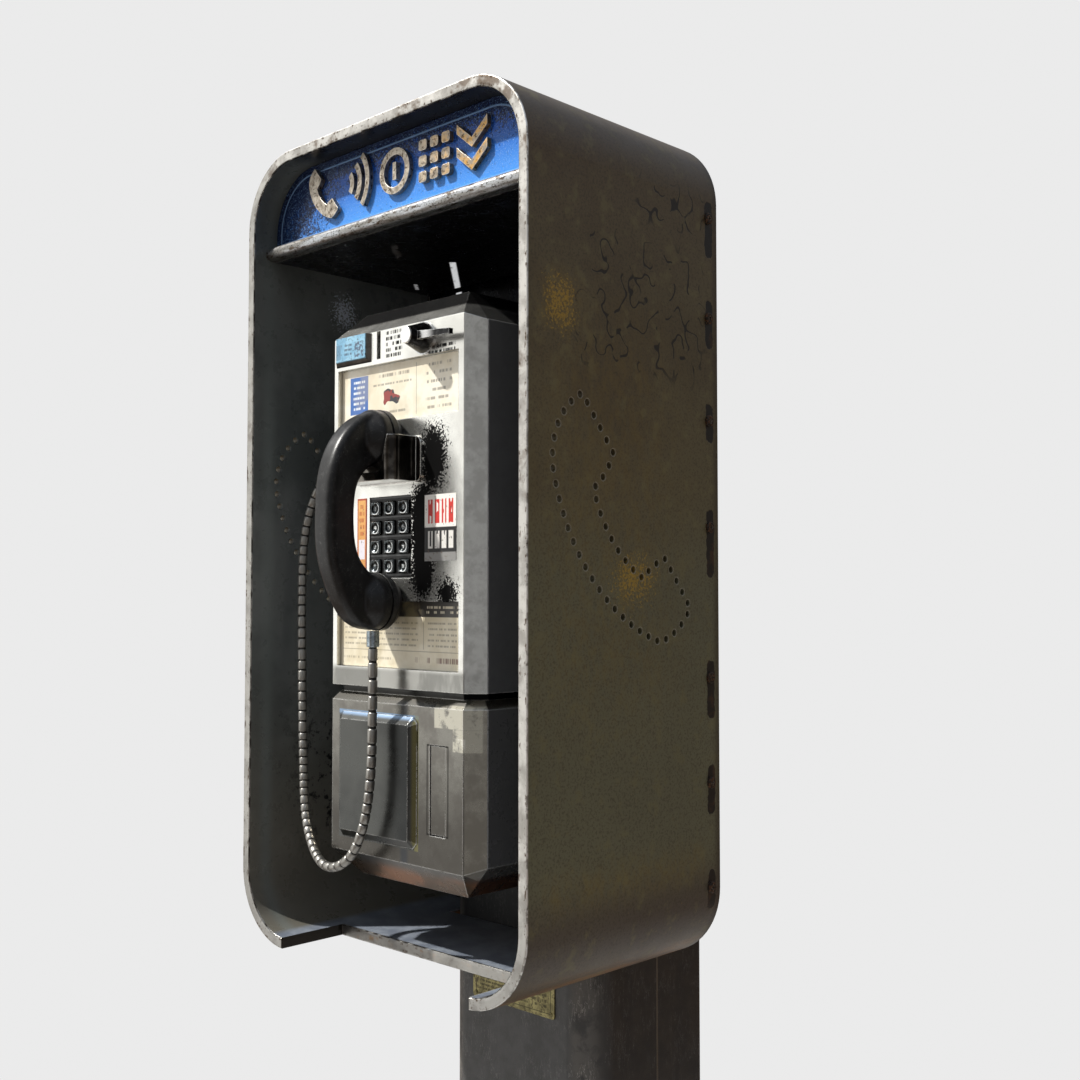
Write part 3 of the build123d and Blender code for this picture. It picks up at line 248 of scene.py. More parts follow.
def hood_paint(g, skin, cloud, fine, grain, holes):
    """Colour of the hood's outside, and how far its runs and scratches sink in."""
    # Orange-brown streaks for the bottom curve: rust streaks that also stand for a painted reflection of the
    # brown ground.
    rust_and_ground_reflection = g.mix("85592a", "5a4027", g.noise(9, 3, 0.6, (1, 0.1, 1)).rise(0.4, 0.6))
    bronze_and_ground_reflection = g.coats(
        g.mix("564b33", "635a3f", cloud.rise(0.36, 0.62)),
        (g.height.rise(560, 800) * 0.7, "4e3d2c"),
        (g.height.band(70, 400, 60) * 0.65, "6a6b55"),
        # This band and the next, low on the outside, are painted reflections of the brown ground.
        (g.height.band(22, 84, 26) * 0.6, "45383a"),
        (g.height.rise(34, 4) * 0.9, rust_and_ground_reflection),
        (grain.rise(0.5, 0.6) * 0.48, "372d20"),
        (fine.rise(0.52, 0.66) * 0.45, "736b48"),
    )
    gold = g.patch((18, 62), (572, 622), 18, g.depth).most(g.patch((104, 168), (340, 386), 26, g.depth))
    haze = gold.most(g.patch((20, 235), (84, 116), 16, g.depth) * 0.55)
    haze = haze.most(g.patch((20, 190), (250, 600), 60, g.depth) * 0.45)
    haze = haze * g.noise(9, 5, 0.8, (1, 1, 0.5)).rise(0.36, 0.66)
    gold = (g.noise(2.6, 4, 0.8) + gold * 0.22).rise(0.66, 0.76)
    curls = abs(g.noise(24, 1.0, 0.4) - 0.5).rise(0.024, 0.012) * g.noise(26, 1.0).rise(0.46, 0.49)
    where = g.patch((60, 238), (550, 672), 14, g.depth).most(g.patch((140, 240), (690, 732), 8, g.depth))
    scrawl = curls * where
    drip = None
    for number, screw in enumerate(SCREW_HEIGHTS):
        length = 20 + 9 * (number * 5 % 4)
        run = g.patch((243, 254), (screw - length, screw + 16), 5, g.depth)
        drip = run if drip is None else drip.most(run)
    drip = (drip * 0.9 + g.noise(8, 4, 0.8, (1, 1, 0.5)) - 0.5).rise(0.36, 0.46) * skin.rise(-2, -1)
    colour = g.coats(
        bronze_and_ground_reflection,
        (haze * 0.6, "80682a"),
        (gold * 0.65, "b8922c"),
        (scrawl * 0.9, "0d0a08"),
        (g.depth.rise(250, 260) * 0.6, "2a1c12"),
        (drip, g.mix("0f0b08", "3a2413", fine.rise(0.5, 0.62))),
        (holes, "a39c8c"),
    )
    return colour, drip * 0.5 + scrawl * 0.3


def hood_lining(g, floor, cloud, fine, holes):
    """Colour of the hood's inside, lighter on the left wall and slate grey on its floor."""
    left = g.x.rise(-100, -150)
    spot = g.patch((108, 126), (648, 674), 22, g.depth)
    # A pale blue-white glint on the left inner wall: a painted highlight of sun and sky on the glossy paint.
    sky_glint = (g.noise(2.4, 1, 0.8) + spot * 0.6).rise(0.68, 0.76) * spot.rise(0, 0.15)
    return g.coats(
        g.mix("1b1d22", "101114", cloud.rise(0.4, 0.6)),
        (left * 0.9, g.mix("6d7170", "545958", cloud.rise(0.4, 0.6))),
        (left * g.height.rise(300, 60) * 0.7, "696459"),
        (g.depth.band(14, 26, 6) * left * 0.5, "6d7472"),
        (g.patch((60, 240), (90, 230), 40, g.depth) * g.specks(9, 0.566) * left, "0b0c0e"),
        (holes * 0.5, "6f7574"),
        (sky_glint * left * 0.9, "c9d2e0"),
        (floor, g.mix("656c78", "7b828c", fine.rise(0.4, 0.62))),
    )


def hood_rim(g, skin):
    """Colour of the worn front edge, with the paint's remains along both its corners."""
    stain = g.noise(34, 4, 0.7).rise(0.52, 0.64) * g.height.rise(120, 780)
    corners = skin.band(-9.8, -7.4, 1.2).most(skin.band(-3, -0.5, 1))
    return g.coats(
        g.mix("c4c2bd", "9b9893", g.noise(30, 4, 0.65).rise(0.4, 0.62)),
        (g.height.rise(160, 20) * 0.5, "6f6e6c"),
        (stain * 0.8, "5d4c3d"),
        # The left part of the rim is painted darker: painted shade.
        (g.x.rise(-150, -200) * 0.5, "8f8d89"),
        (g.specks(3, 0.654), "3f3126"),
        (g.specks(6, 0.5836, (1, 1, 0.5)) * corners, "4a3a2c"),
        (skin.rise(-9.2, -10.4) * g.noise(12, 3).rise(0.44, 0.56), "2b2622"),
        (skin.rise(-1.4, -0.2) * g.noise(10, 3).rise(0.42, 0.52), "e9e8e4"),
    )


def shell(g):
    skin = hood_skin(g)
    inside = skin.rise(-7, -9.5)
    floor = g.height.rise(14, 11.5) * inside
    wobble = (g.noise(9) - 0.5) * 9
    rim = (g.depth + wobble * 0.12).rise(1.9, 0.7) * skin.rise(-11, -10.4)
    cloud, fine, grain = g.noise(130, 5), g.noise(22, 5, 0.7), g.noise(2.2, 3, 0.7)
    holes = g.edges(2.0) * g.patch((20, 225), (200, 560), 2, g.depth)
    outside, sunk = hood_paint(g, skin, cloud, fine, grain, holes)
    lining = hood_lining(g, floor, cloud, fine, holes)
    silver = hood_rim(g, skin)
    notch = g.height.rise(14, 11) * (abs(g.x) + wobble * 0.2).rise(137.6, 136.2) * g.depth.band(70, 77, 1.2)
    worn = rim.most(notch * g.noise(12, 3).rise(0.3, 0.5))
    tab_end = abs(g.x).rise(136.8, 136.1) * g.height.rise(13, 11.5) * g.depth.rise(75.5, 74.5)
    colour = g.coats(
        g.mix(outside, lining, inside),
        (worn, silver),
        (tab_end, "2c2926"),
        (tab_end * g.x.rise(0, 9), "b5b3ae"),
    )
    texture = (grain * 0.35 + fine * 0.5) * (1 - inside * 0.75) * (1 - floor * 0.9)
    return dict(
        colour=colour,
        metallic=worn * 0.85,
        roughness=fine * 0.22 + 0.38 - inside * 0.2 - worn * 0.12 + floor * 0.12,
        bump=texture + cloud - sunk,
        relief=0.3,
        corner=1.4,
    )


finish("shell_metal", ["enclosure_shell"], shell)


def dark_panel(g):
    fine = g.noise(18, 4, 0.7)
    along = (g.depth - g.x) * cos(pi / 4)  # the runs cross the tray at 45 degrees
    across = (g.depth + g.x) * cos(pi / 4)
    # The two white strips, frayed at their edges, are painted highlights that stand for bright sky
    # reflections, not paint.
    frayed = g.noise(6, 3, 0.7).rise(0.3, 0.42) * g.height.band(699.5, 702, 0.3)
    run = along.band(152, 300, 1.5) * (across - 68).band(-3.5, 3.5, 1.0) * frayed
    small_glint = along.band(250, 276, 1.5) * (across - 21).band(-2.2, 2.2, 1.0) * frayed
    drip = along.band(88, 140, 6) * (across - 12 + (g.noise(22, 2) - 0.5) * 16).band(-2.5, 2.5, 1.5)
    colour = g.coats(
        g.mix("15171b", "0b0c0e", fine.rise(0.4, 0.6)),
        (g.noise(40, 3).rise(0.55, 0.7) * 0.4, "2c3340"),
        (drip * 0.5, "8b8b8b"),
        # The white strips: painted sky reflections.
        (run.most(small_glint * 0.7), "f2f4f6"),
        (g.edges(1.6) * g.noise(9, 3).rise(0.42, 0.55), "8d8c88"),
    )
    # The strips also glow, though they are no lamp.
    glow = run.most(small_glint * 0.4) * 0.6
    return dict(
        colour=colour,
        roughness=fine * 0.2 + 0.18,
        bump=g.noise(3, 3) + fine,
        relief=0.25,
        glow=glow,
    )


finish("dark_panel", ["back_panel", "sign_tray"], dark_panel)


def trim(g):
    fine = g.noise(9, 4, 0.7, (0.15, 1, 1))
    colour = g.coats(
        g.mix("b9bcc0", "8b8985", fine.rise(0.4, 0.6)),
        (g.specks(6, 0.566, (0.3, 1, 1)), "5a4f45"),
        (g.specks(2, 0.577), "2b2622"),
        (g.edges(1.5), "e6e6e4"),
    )
    return dict(
        colour=colour,
        metallic=0.9,
        roughness=fine * 0.3 + 0.18,
        bump=fine + g.noise(2),
        relief=0.15,
    )


finish("worn_alloy", ["sign_trim"], trim)


def sign_blue(g):
    skin = hood_skin(g, HOOD_HALF_WIDTH - 0.5)
    bead = skin.band(-19.5, -17.8, 0.4).most(g.height.band(716.5, 718.5, 0.4))
    bead = bead * g.height.rise(714, 716) * skin.rise(-17.0, -17.8)
    shade = g.height.rise(738, 788) * 0.34 + g.x.rise(-60, -185) * 0.4 + skin.rise(-34, -12) * 0.1
    navy = (g.noise(2.2, 1, 0.8) + shade).rise(0.66, 0.78)
    colour = g.coats(
        # Lighter towards the bottom and darker towards the top: painted shade of the hood's roof on the
        # sign's upper part.
        g.mix("4a94ea", "174fae", g.height.rise(712, 770)),
        (g.x.rise(-60, -175) * 0.5, "12357c"),
        (navy * 0.96, "071334"),
        (g.specks(1.2, 0.5968), "8fb6ea"),
        (bead * 0.7, "86ade0"),
    )
    return dict(
        colour=colour,
        roughness=g.noise(20) * 0.3 + 0.1,
        bump=g.noise(3) * 0.3 + bead,
        relief=0.4,
        specular=0.15,
    )


finish("sign_blue", ["sign_panel"], sign_blue)


def sign_relief(g):
    fine = g.noise(8, 5, 0.75)
    colour = g.coats(
        g.mix("8f8578", "b9b1a4", fine.rise(0.4, 0.6)),
        (g.x.rise(20, 110) * fine.rise(0.42, 0.6), "b98f4c"),
        (g.specks(3.5, 0.5616), "4a3b2c"),
        (g.edges(1.2), "e9e2d2"),
    )
    return dict(
        colour=colour,
        metallic=0.85,
        roughness=fine * 0.35 + 0.2,
        bump=fine + g.noise(2),
        relief=0.3,
    )


finish("sign_bronze", ["sign_symbols"], sign_relief)


def post(g):
    fine, grain = g.noise(26, 5, 0.7), g.noise(2, 3, 0.7)
    slanted = g.noise(26, 4, 0.7, (3.5, 3.5, 0.7))
    scratch = abs(slanted - 0.5).rise(0.012, 0.002) * g.noise(30, 2).rise(0.4, 0.6)
    corner = abs(g.x).band(78, 99, 6) * g.depth.rise(222, 205)
    colour = g.coats(
        g.mix("373636", "2f2e2d", fine.rise(0.38, 0.62)),
        # Behind the front, the sides are painted darker and browner: painted shade.
        (g.depth.rise(215, 232), g.mix("221b14", "1a140f", fine.rise(0.38, 0.62))),
        # Above the hood's underside the channel is painted near black: painted shadow of the hood.
        (g.height.rise(-2, 4), "0f1114"),
        (corner * fine.rise(0.38, 0.6) * 0.5, "716d68"),
        (scratch * corner * 0.7, "a19c96"),
        (scratch * 0.25, "8a8784"),
        (g.depth.band(295, 297.5, 0.5) * 0.6, "6b5b4a"),
        (g.height.rise(-560, -728) * fine.rise(0.4, 0.62) * 0.6, "6a5338"),
    )
    return dict(colour=colour, roughness=fine * 0.3 + 0.35, bump=grain * 0.6 + fine, relief=0.3, corner=1.2)


finish("post_paint", ["post_front_channel", "post_rear_cover", "post_top_cap", "base_plate"], post)


def plate(g):
    fine = g.noise(12, 4, 0.7)
    frame_line = g.patch((-56, 52), (-66, -30), 0.4) - g.patch((-55, 51), (-65, -31), 0.4)
    text = g.writing((-50, 20), (-62, -34), 4.0, 5).most(g.writing((26, 46), (-62, -34), 5.2, 3))
    colour = g.coats(
        g.mix("8f875c", "6d6645", fine.rise(0.4, 0.6)),
        (text.most(frame_line) * 0.75, "2a2719"),
        (g.specks(5, 0.566), "4d4530"),
    )
    return dict(colour=colour, metallic=0.7, roughness=fine * 0.3 + 0.3, bump=fine - text * 0.5, relief=0.2)


finish("brass", ["rating_plate"], plate)


def zinc(g):
    fine = g.noise(7, 4, 0.7)
    colour = g.coats(
        g.mix("b4b6b8", "8c8e90", fine.rise(0.4, 0.6)),
        (g.specks(3, 0.5924), "4a2e1c"),
        (g.edges(1.0), "d5d5d2"),
    )
    return dict(colour=colour, metallic=0.85, roughness=fine * 0.35 + 0.25, bump=fine, relief=0.15)


COIN_PARTS = ["coin_box", "coin_chute", "release_spring"]
CAPSULES = ["receiver_capsule", "transmitter_capsule"]
finish("zinc_steel", ["mounting_bolts", "phone_backplate", "post_brackets", *COIN_PARTS, *CAPSULES], zinc)


def fastener(g):
    fine = g.noise(4, 4, 0.7)
    colour = g.coats(
        g.mix("33271d", "1d1612", fine.rise(0.4, 0.6)),
        (g.specks(2.5, 0.533), "5a3a22"),
        (g.edges(1.2) * fine.rise(0.4, 0.55), "8d8478"),
    )
    return dict(colour=colour, metallic=0.4, roughness=fine * 0.3 + 0.45, bump=fine, relief=0.25)


finish("fasteners", ["panel_screws"], fastener)


# ---------------------------------------------------------------- finishes of the telephone
def phone_steel(g):
    front = g.depth.rise(31.4, 30.6)
    bevel = g.height.rise(613, 616)
    lower = g.height.rise(259, 257)
    below_card = g.height.rise(284, 276)
    sides = abs(g.x).rise(95.5, 97)
    flank = abs(g.x).rise(110.4, 111.1)
    door = g.patch((-84, 35), (114, 238), 0.3) * g.depth.rise(38.6, 38.0)
    door_face = door * g.depth.rise(25.2, 24.6)
    door_edge = door * (1 - door_face)
    return_frame = g.patch((46.6, 76.4), (131, 213.4)) - g.patch((48, 75), (132.6, 211.8))
    cloud, fine, grain = g.noise(70, 3), g.noise(24, 5, 0.7), g.noise(1.6, 1, 0.7)

    # A black patch right of the cradle and keypad: black overspray and, in the same mask, the painted shadow
    # of the handset and cradle.
    core = g.patch((42, 66), (450, 502), 22).most(g.patch((28, 50), (350, 450), 18))
    core = core.most(g.patch((62, 84), (338, 362), 16) * 0.8)
    overspray_and_shadow = (grain + core * 0.85).rise(0.71, 0.75) * core.rise(0, 0.1)
    overspray_and_shadow = overspray_and_shadow * (1 - lower) * g.height.rise(516, 508)
    torn = g.noise(12, 4, 0.7).rise(0.34, 0.5) * 0.85
    edge = g.edges(1.6) * fine.rise(0.36, 0.5)
    film = g.patch((57, 108), (229, 250), 0.6).most(g.patch((82, 108), (209, 229), 0.6))

    housings = (
        (below_card * 0.85, g.mix("9a9994", "6f6e6a", g.noise(26, 3, 0.6, (1, 1, 0.4)).rise(0.42, 0.6))),
        (lower * 0.95, g.mix("83817b", "6f6c67", fine.rise(0.36, 0.64))),
        (lower * g.height.rise(236, 120) * 0.8, "403d39"),
        (lower * g.x.rise(-90, -108) * front * 0.5, "8b8b88"),
    )
    vault = (
        (door * 0.95, g.mix("545553", "464746", cloud.rise(0.36, 0.64))),
        (door_face * g.x.rise(-20, 26) * 0.7, "262829"),
        # Pale blue along the door's top edge: painted sky reflection.
        (door_edge * g.height.rise(232, 236) * 0.8, "8fa9c8"),
        (door_edge * g.x.rise(28, 31) * 0.7, "79744a"),
        (return_frame * lower * 0.85, "181716"),
    )
    slopes = (
        (sides * (1 - lower) * 0.85, g.mix("d2d2ce", "b8b7b3", fine.rise(0.4, 0.6))),
        (sides * lower * g.height.rise(88, 96) * 0.85, g.mix("a8a398", "938e84", fine.rise(0.4, 0.6))),
        (bevel * 0.95, g.mix("3d3d3f", "2c2c2e", fine.rise(0.4, 0.6))),
        (flank * 0.9, "6d6e70"),
    )
    wear_reflections_and_shadow = (
        # A dark bluish streak on the lower housing: painted reflection.
        (g.patch((10, 20), (100, 250), 3) * lower * (1 - door) * 0.5, "2c3440"),
        (film * lower * torn, "c4c0b2"),
        (g.patch((83, 97), (211, 221), 0.6) * lower * fine.rise(0.4, 0.5) * 0.9, "dedbd0"),
        # The orange-brown bottom bevel: painted reflection of the brown ground.
        (g.height.rise(99, 86) * 0.85, g.mix("85501f", "553d22", cloud.rise(0.42, 0.58))),
        (edge * 0.75, "f4f4f2"),
        (overspray_and_shadow, "0b0b0b"),
    )
    print_and_joint_shadow = (
        (g.writing((-15, 9), (575, 602), 5.5, 3, 0.6) * front, "1b1b1b"),
        (g.writing((46, 84), (570, 580), 5.0, 4, 0.6) * front, "1b1b1b"),
        # The dark band under the upper housing: painted shadow in the gap between the housings.
        (g.height.band(255.2, 261.2, 0.3) * g.depth.rise(35, 39), "0a0a0a"),
    )
    bare = g.mix("eeeee9", "d6d5d0", cloud.rise(0.4, 0.62))
    return dict(
        colour=g.coats(bare, *housings, *vault, *slopes, *wear_reflections_and_shadow, *print_and_joint_shadow),
        metallic=0.95 - overspray_and_shadow * 0.9 - flank * 0.75,
        roughness=fine * 0.16 + 0.14 + lower * 0.06 + overspray_and_shadow * 0.3,
        bump=g.noise(7, 4, 0.7, (1, 1, 0.05)) * 0.1 + fine * 0.5 + cloud,
        relief=0.14,
        corner=1.0,
        specular=0.5 - overspray_and_shadow * 0.45,
    )


finish("phone_steel", ["upper_housing", "lower_housing", "vault_door", "coin_return_flap"], phone_steel)


def label_block(g):
    face = g.depth.rise(26.6, 25.9)
    sign = g.writing((-74, -62), (584, 597), 4.4, 2.5).most(g.patch((-88, -80), (582, 597)) * 0.5)
    colour = g.coats(
        g.mix("5a5650", "4a443c", g.noise(12).rise(0.4, 0.6)),
        (face, g.mix("8fc0da", "6fa6c6", g.noise(20, 4).rise(0.4, 0.6))),
        (face * sign * 0.8, "2c3a52"),
        (face * g.patch((-58, -44), (582, 597)) * g.noise(2.5, 2).rise(0.44, 0.5), "4c6078"),
        # The underside below the face is painted near black: painted shade.
        (g.height.rise(577.5, 576.3), "191715"),
        (g.specks(2, 0.5924), "30302e"),
    )
    return dict(colour=colour, roughness=g.noise(9) * 0.3 + 0.2, bump=g.noise(5), relief=0.1, coat=0.3)


finish("label_block", ["label_block"], label_block)


def upper_card(g):
    cream = g.mix("efe9d8", "e2d8c0", g.noise(30, 4).rise(0.4, 0.65))
    blue = g.patch((-76, -48), (527, 564), 0.5)
    emblem = (g.noise(11, 1) + g.patch((-26, 3), (533, 548), 6) * 0.4 - 0.3).rise(0.5, 0.53)
    ink = g.writing((-34, 14), (557, 566), 8.0, 6, 0.4).most(g.writing((-40, 18), (550, 556), 5.5, 4, 0.35))
    ink = ink.most(g.writing((-16, 10), (522, 530), 6.5, 4, 0.35))
    ink = ink.most(g.writing((38, 74), (520, 568), 8.0, 7, 0.34))
    colour = g.coats(
        cream,
        (blue, "2c62ac"),
        (g.writing((-71, -53), (530, 561), 5.2, 5, 0.45), "dfe7f0"),
        (emblem, g.mix("8e2f2a", "25252c", g.noise(9, 1).rise(0.48, 0.52))),
        (g.patch((24, 24.7), (519, 568), 0.2) * 0.8, "8a8376"),
        (ink * 0.7, "6b665c"),
        (g.noise(40, 3).rise(0.56, 0.7) * 0.3, "b5a888"),
    )
    return dict(colour=colour, roughness=g.noise(14) * 0.3 + 0.2, bump=g.noise(6), relief=0.08, coat=0.3)


finish("upper_card", ["upper_card"], upper_card)


def lower_card(g):
    cream = g.mix("e0d8c2", "cfc4a8", g.noise(30, 4).rise(0.4, 0.65))
    ink = None
    for left, right in ((-82, -40), (-32, 28), (42, 82)):
        column = g.writing((left, right), (300, 326), 5.2, 5, 0.34)
        ink = column if ink is None else ink.most(column)
    colour = g.coats(
        cream,
        (g.height.rise(328.6, 329.4), "33302c"),
        (g.writing((40, 84), (331, 340), 4.5, 6), "cfc6b0"),
        (ink * 0.65, "7b7363"),
        (g.patch((35.6, 36.4), (299, 327), 0.2) * 0.8, "8a806c"),
        (g.patch((-86, 86), (296.6, 297.3), 0.2) * 0.8, "8a806c"),
        (g.writing((24, 84), (284, 293), 9, 6, 0.55) * 0.85, "6b4436"),
        (g.writing((-84, -10), (286, 293), 7, 6, 0.3) * 0.6, "8a806c"),
        (g.noise(34, 3).rise(0.56, 0.7) * 0.35, "a4976f"),
    )
    return dict(colour=colour, roughness=g.noise(14) * 0.3 + 0.22, bump=g.noise(6), relief=0.08, coat=0.3)


finish("lower_card", ["lower_card"], lower_card)


def labels(g):
    """A two-colour label of shapeless bars on the right, an orange one with dashes on the left."""
    paper = g.x.rise(0, -10)
    border = 1 - g.patch((-55.6, -44.4), (374.8, 441.2), 0.3)
    place = g.math("FRACT", (g.x - 46.5) / 9.4)
    broken = g.noise(6, 0, 0.5, (1, 1, 0.6)).rise(0.52, 0.54) * place.band(0.38, 0.62, 0.03)
    bars = place.band(0.14, 0.82, 0.03) * (1 - broken)
    colour = g.coats(
        g.mix("efece6", "19191b", g.height.rise(412, 411)),
        (g.patch((46.5, 83.5), (415, 437)) * bars, "c9312b"),
        (g.patch((46.5, 83.5), (392, 408)) * bars, "dcdad5"),
        (g.height.rise(389, 388) * 0.9, "8f8f8d"),
        (paper, g.mix("dda75f", "cf9450", g.height.rise(440, 380))),
        (paper * border, "a9482f"),
        (paper * g.patch((-54.6, -45.4), (384, 403)), "dcd8e0"),
        (paper * g.writing((-54, -46), (405, 438), 6.5, 4, 0.6) * 0.8, "b5602a"),
        (g.specks(3, 0.632), "5b4a3c"),
    )
    return dict(colour=colour, roughness=g.noise(9) * 0.3 + 0.35, bump=g.noise(4), relief=0.1, corner=0.0)


finish("label_print", ["labels"], labels)


def moulded(dark, light, rough=0.45):
    def build(g):
        fine = g.noise(6, 4, 0.7)
        colour = g.coats(g.mix(dark, light, fine.rise(0.38, 0.66)), (g.edges(0.8) * 0.5, "77777a"))
        return dict(colour=colour, roughness=fine * 0.3 + rough - 0.15, bump=fine, relief=0.1, corner=0.4)

    return build


finish("black_plastic", ["coin_guide", "coin_return_cup", "hook_switch"], moulded("0d0d0e", "1c1c1e"))
finish("white_plastic", ["lamp_gear"], moulded("d5d5d0", "bcbcb6"))
finish("circuit_green", ["circuit_board", "keypad_board"], moulded("0d3a1c", "15502a", 0.35))


def lamp(g):
    ends = abs(g.x).rise(138, 147)
    colour = g.mix("eef2f6", "6b6a68", ends)
    return dict(colour=colour, roughness=g.noise(8) * 0.1 + 0.1, bump=g.noise(9), relief=0.02, corner=0.0)


finish("lamp_glass", ["lamp_tube"], lamp)


def chromed(bright, dull, worn, dirt, rough):
    """A plated finish; dirt is the level its specks start from."""

    def build(g):
        fine = g.noise(9, 4, 0.7)
        colour = g.coats(
            g.mix(bright, dull, fine.rise(0.4, 0.62)),
            (g.specks(2.2, dirt), "2a2522"),
            (g.edges(0.9) * 0.9, worn),
        )
        return dict(
            colour=colour,
            metallic=0.95,
            roughness=fine * 0.25 + rough,
            bump=fine,
            relief=0.08,
            corner=0.5,
        )

    return build


BRIGHT_PARTS = ["coin_release_bezel", "hook_lever", "housing_lock", "vault_lock"]
finish("chrome", BRIGHT_PARTS, chromed("d9dadb", "a9aaab", "e8e8e6", 0.5792, 0.1))
finish("blued_steel", ["cord_gland", "strain_relief"], chromed("aab6be", "7f8b94", "dfe6ea", 0.599, 0.16))


def cradle(g):
    fine = g.noise(16, 3, 0.7)
    lip_highlight = (1 - g.patch((-54.6, 38.6), (455.6, 496.6), 0.3)) * g.depth.rise(24, 26)
    colour = g.coats(
        g.mix("55514d", "2f2c2a", fine.rise(0.4, 0.6)),
        # Pale vertical streaks: painted reflections on the dark chrome.
        (g.noise(26, 1, 0.6, (1, 1, 0.4)).rise(0.5, 0.62) * 0.6, "8f8a83"),
        # The flange's bright outline: painted highlight.
        (lip_highlight.most(g.edges(1.3)) * 0.95, "fbfaf6"),
    )
    return dict(
        colour=colour,
        metallic=0.95,
        roughness=fine * 0.15 + 0.06,
        bump=fine,
        relief=0.2,
        corner=1.2,
    )


finish("dark_chrome", ["cradle"], cradle)


def release(g):
    # The tip and the near part of the blade are painted bright on the dark chrome: painted sunlight, with
    # the rest in painted shade.
    tip = g.depth.rise(9.0, 8.0) * g.x.rise(58, 54)
    blade = g.x.rise(52, 56)
    colour = g.coats(
        g.mix("3a3a3b", "232324", g.noise(8, 3).rise(0.4, 0.6)),
        (blade * g.x.rise(74, 60) * 0.9, "d6d6d6"),
        (tip, "f1f1ef"),
        (g.edges(0.9) * 0.8, "efefed"),
    )
    return dict(
        colour=colour,
        metallic=0.9,
        roughness=g.noise(6) * 0.25 + 0.12,
        bump=g.noise(5),
        relief=0.08,
    )


finish("release_chrome", ["coin_release_lever"], release)


KEYS = {**{f"key_{n}": str(n) for n in range(10)}, "key_star": "*", "key_hash": "#"}
KEY_PITCH_X, KEY_PITCH_UP = 20.7, 18.4
KEYPAD_LEFT, KEYPAD_BOTTOM = -38.75, 367.6  # outer corner of the three columns and four rows of keys


def keypad(g):
    fine = g.noise(3, 3)
    row = g.math("FRACT", (g.height - KEYPAD_BOTTOM) / KEY_PITCH_UP)
    bars = g.height.band(364, 445) * row.band(0.0, 0.09, 0.03)
    colour = g.coats(
        g.mix("131314", "242425", fine.rise(0.4, 0.62)),
        (bars * 0.35, "7d7e7f"),
        (g.edges(0.5) * fine.rise(0.44, 0.54) * 0.5, "8d8d8c"),
    )
    return dict(colour=colour, metallic=0.6, roughness=fine * 0.3 + 0.25, bump=fine, relief=0.08, corner=0.4)


finish("keypad_black", ["keypad_bezel"], keypad)


def key_face(g):
    across = (g.math("FRACT", (g.x - KEYPAD_LEFT) / KEY_PITCH_X) - 0.5) * KEY_PITCH_X
    up = (g.math("FRACT", (g.height - KEYPAD_BOTTOM) / KEY_PITCH_UP) - 0.5) * KEY_PITCH_UP
    reach = g.reach(across, up)
    dish = reach.rise(2.0, 6.4)
    # A bright crescent in each key's dish: painted highlight.
    crescent = reach.band(4.6, 6.0, 0.4) * (across - up).rise(-2, 3) * g.depth.rise(30.5, 29.5)
    fine = g.noise(5, 3)
    colour = g.coats(
        g.mix("4a4f51", "2f3335", fine.rise(0.4, 0.62)),
        (crescent * 0.85, "f4f7f8"),
        (g.depth.rise(30.0, 31.5) * 0.8, "1d1f20"),
        (g.edges(0.7) * fine.rise(0.38, 0.5), "f2f4f4"),
    )
    return dict(
        colour=colour,
        metallic=0.95,
        roughness=fine * 0.12 + 0.05,
        bump=dish,
        relief=1.2,
        corner=0.5,
    )


finish("key_chrome", list(KEYS), key_face)


# ---------------------------------------------------------------- pieces made here
def shape(name, vertices, faces, material):
    mesh = bpy.data.meshes.new(name)
    mesh.from_pydata(vertices, [], faces)
    mesh.update()
    mesh.shade_smooth()
    mesh.materials.append(material)
    piece = bpy.data.objects.new(name, mesh)
    bpy.context.collection.objects.link(piece)
    return piece


def black_moulding(g):
    fine, grain = g.noise(16, 5, 0.7), g.noise(1.1, 2, 0.6)
    scuff = abs(g.noise(16, 3, 0.6, (1.5, 1.5, 0.7)) - 0.5).rise(0.01, 0.002) * fine.rise(0.45, 0.6)
    colour = g.coats(
        g.mix("121213", "1d1d1e", fine.rise(0.38, 0.62)),
        (scuff * 0.5, "5c5c5c"),
        (g.specks(4, 0.5924), "2a2a2a"),
    )
    return dict(
        colour=colour,
        roughness=fine * 0.3 + 0.24,
        bump=grain * 0.35 + fine * 0.5,
        relief=0.12,
        corner=0.0,
        specular=0.36,
    )


def black_caps(g):
    return {**black_moulding(g), "corner": 0.8}


finish("handset_caps", ["ear_cap", "mouth_cap"], black_caps)


SKIN_VOXEL, SKIN_SMOOTHINGS = 0.0013, 14  # metres, and passes that round the joints


def moulded_handset():
    """The handset's shell with its joints blended as one moulding has them."""
    source = NODES["handset_body"]
    piece = bpy.data.objects.new("handset_moulding", source.data.copy())
    bpy.context.collection.objects.link(piece)
    remesh = piece.modifiers.new("skin", "REMESH")
    remesh.mode, remesh.voxel_size, remesh.use_smooth_shade = "VOXEL", SKIN_VOXEL, True
    smooth = piece.modifiers.new("soften", "SMOOTH")
    smooth.factor, smooth.iterations = 0.5, SKIN_SMOOTHINGS
    whole = bpy.context.evaluated_depsgraph_get()
    mesh = bpy.data.meshes.new_from_object(piece.evaluated_get(whole))
    piece.modifiers.clear()
    piece.data = mesh
    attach(piece, "handset")
    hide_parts("handset_body")
    finish("handset_black", [piece], black_moulding)


moulded_handset()

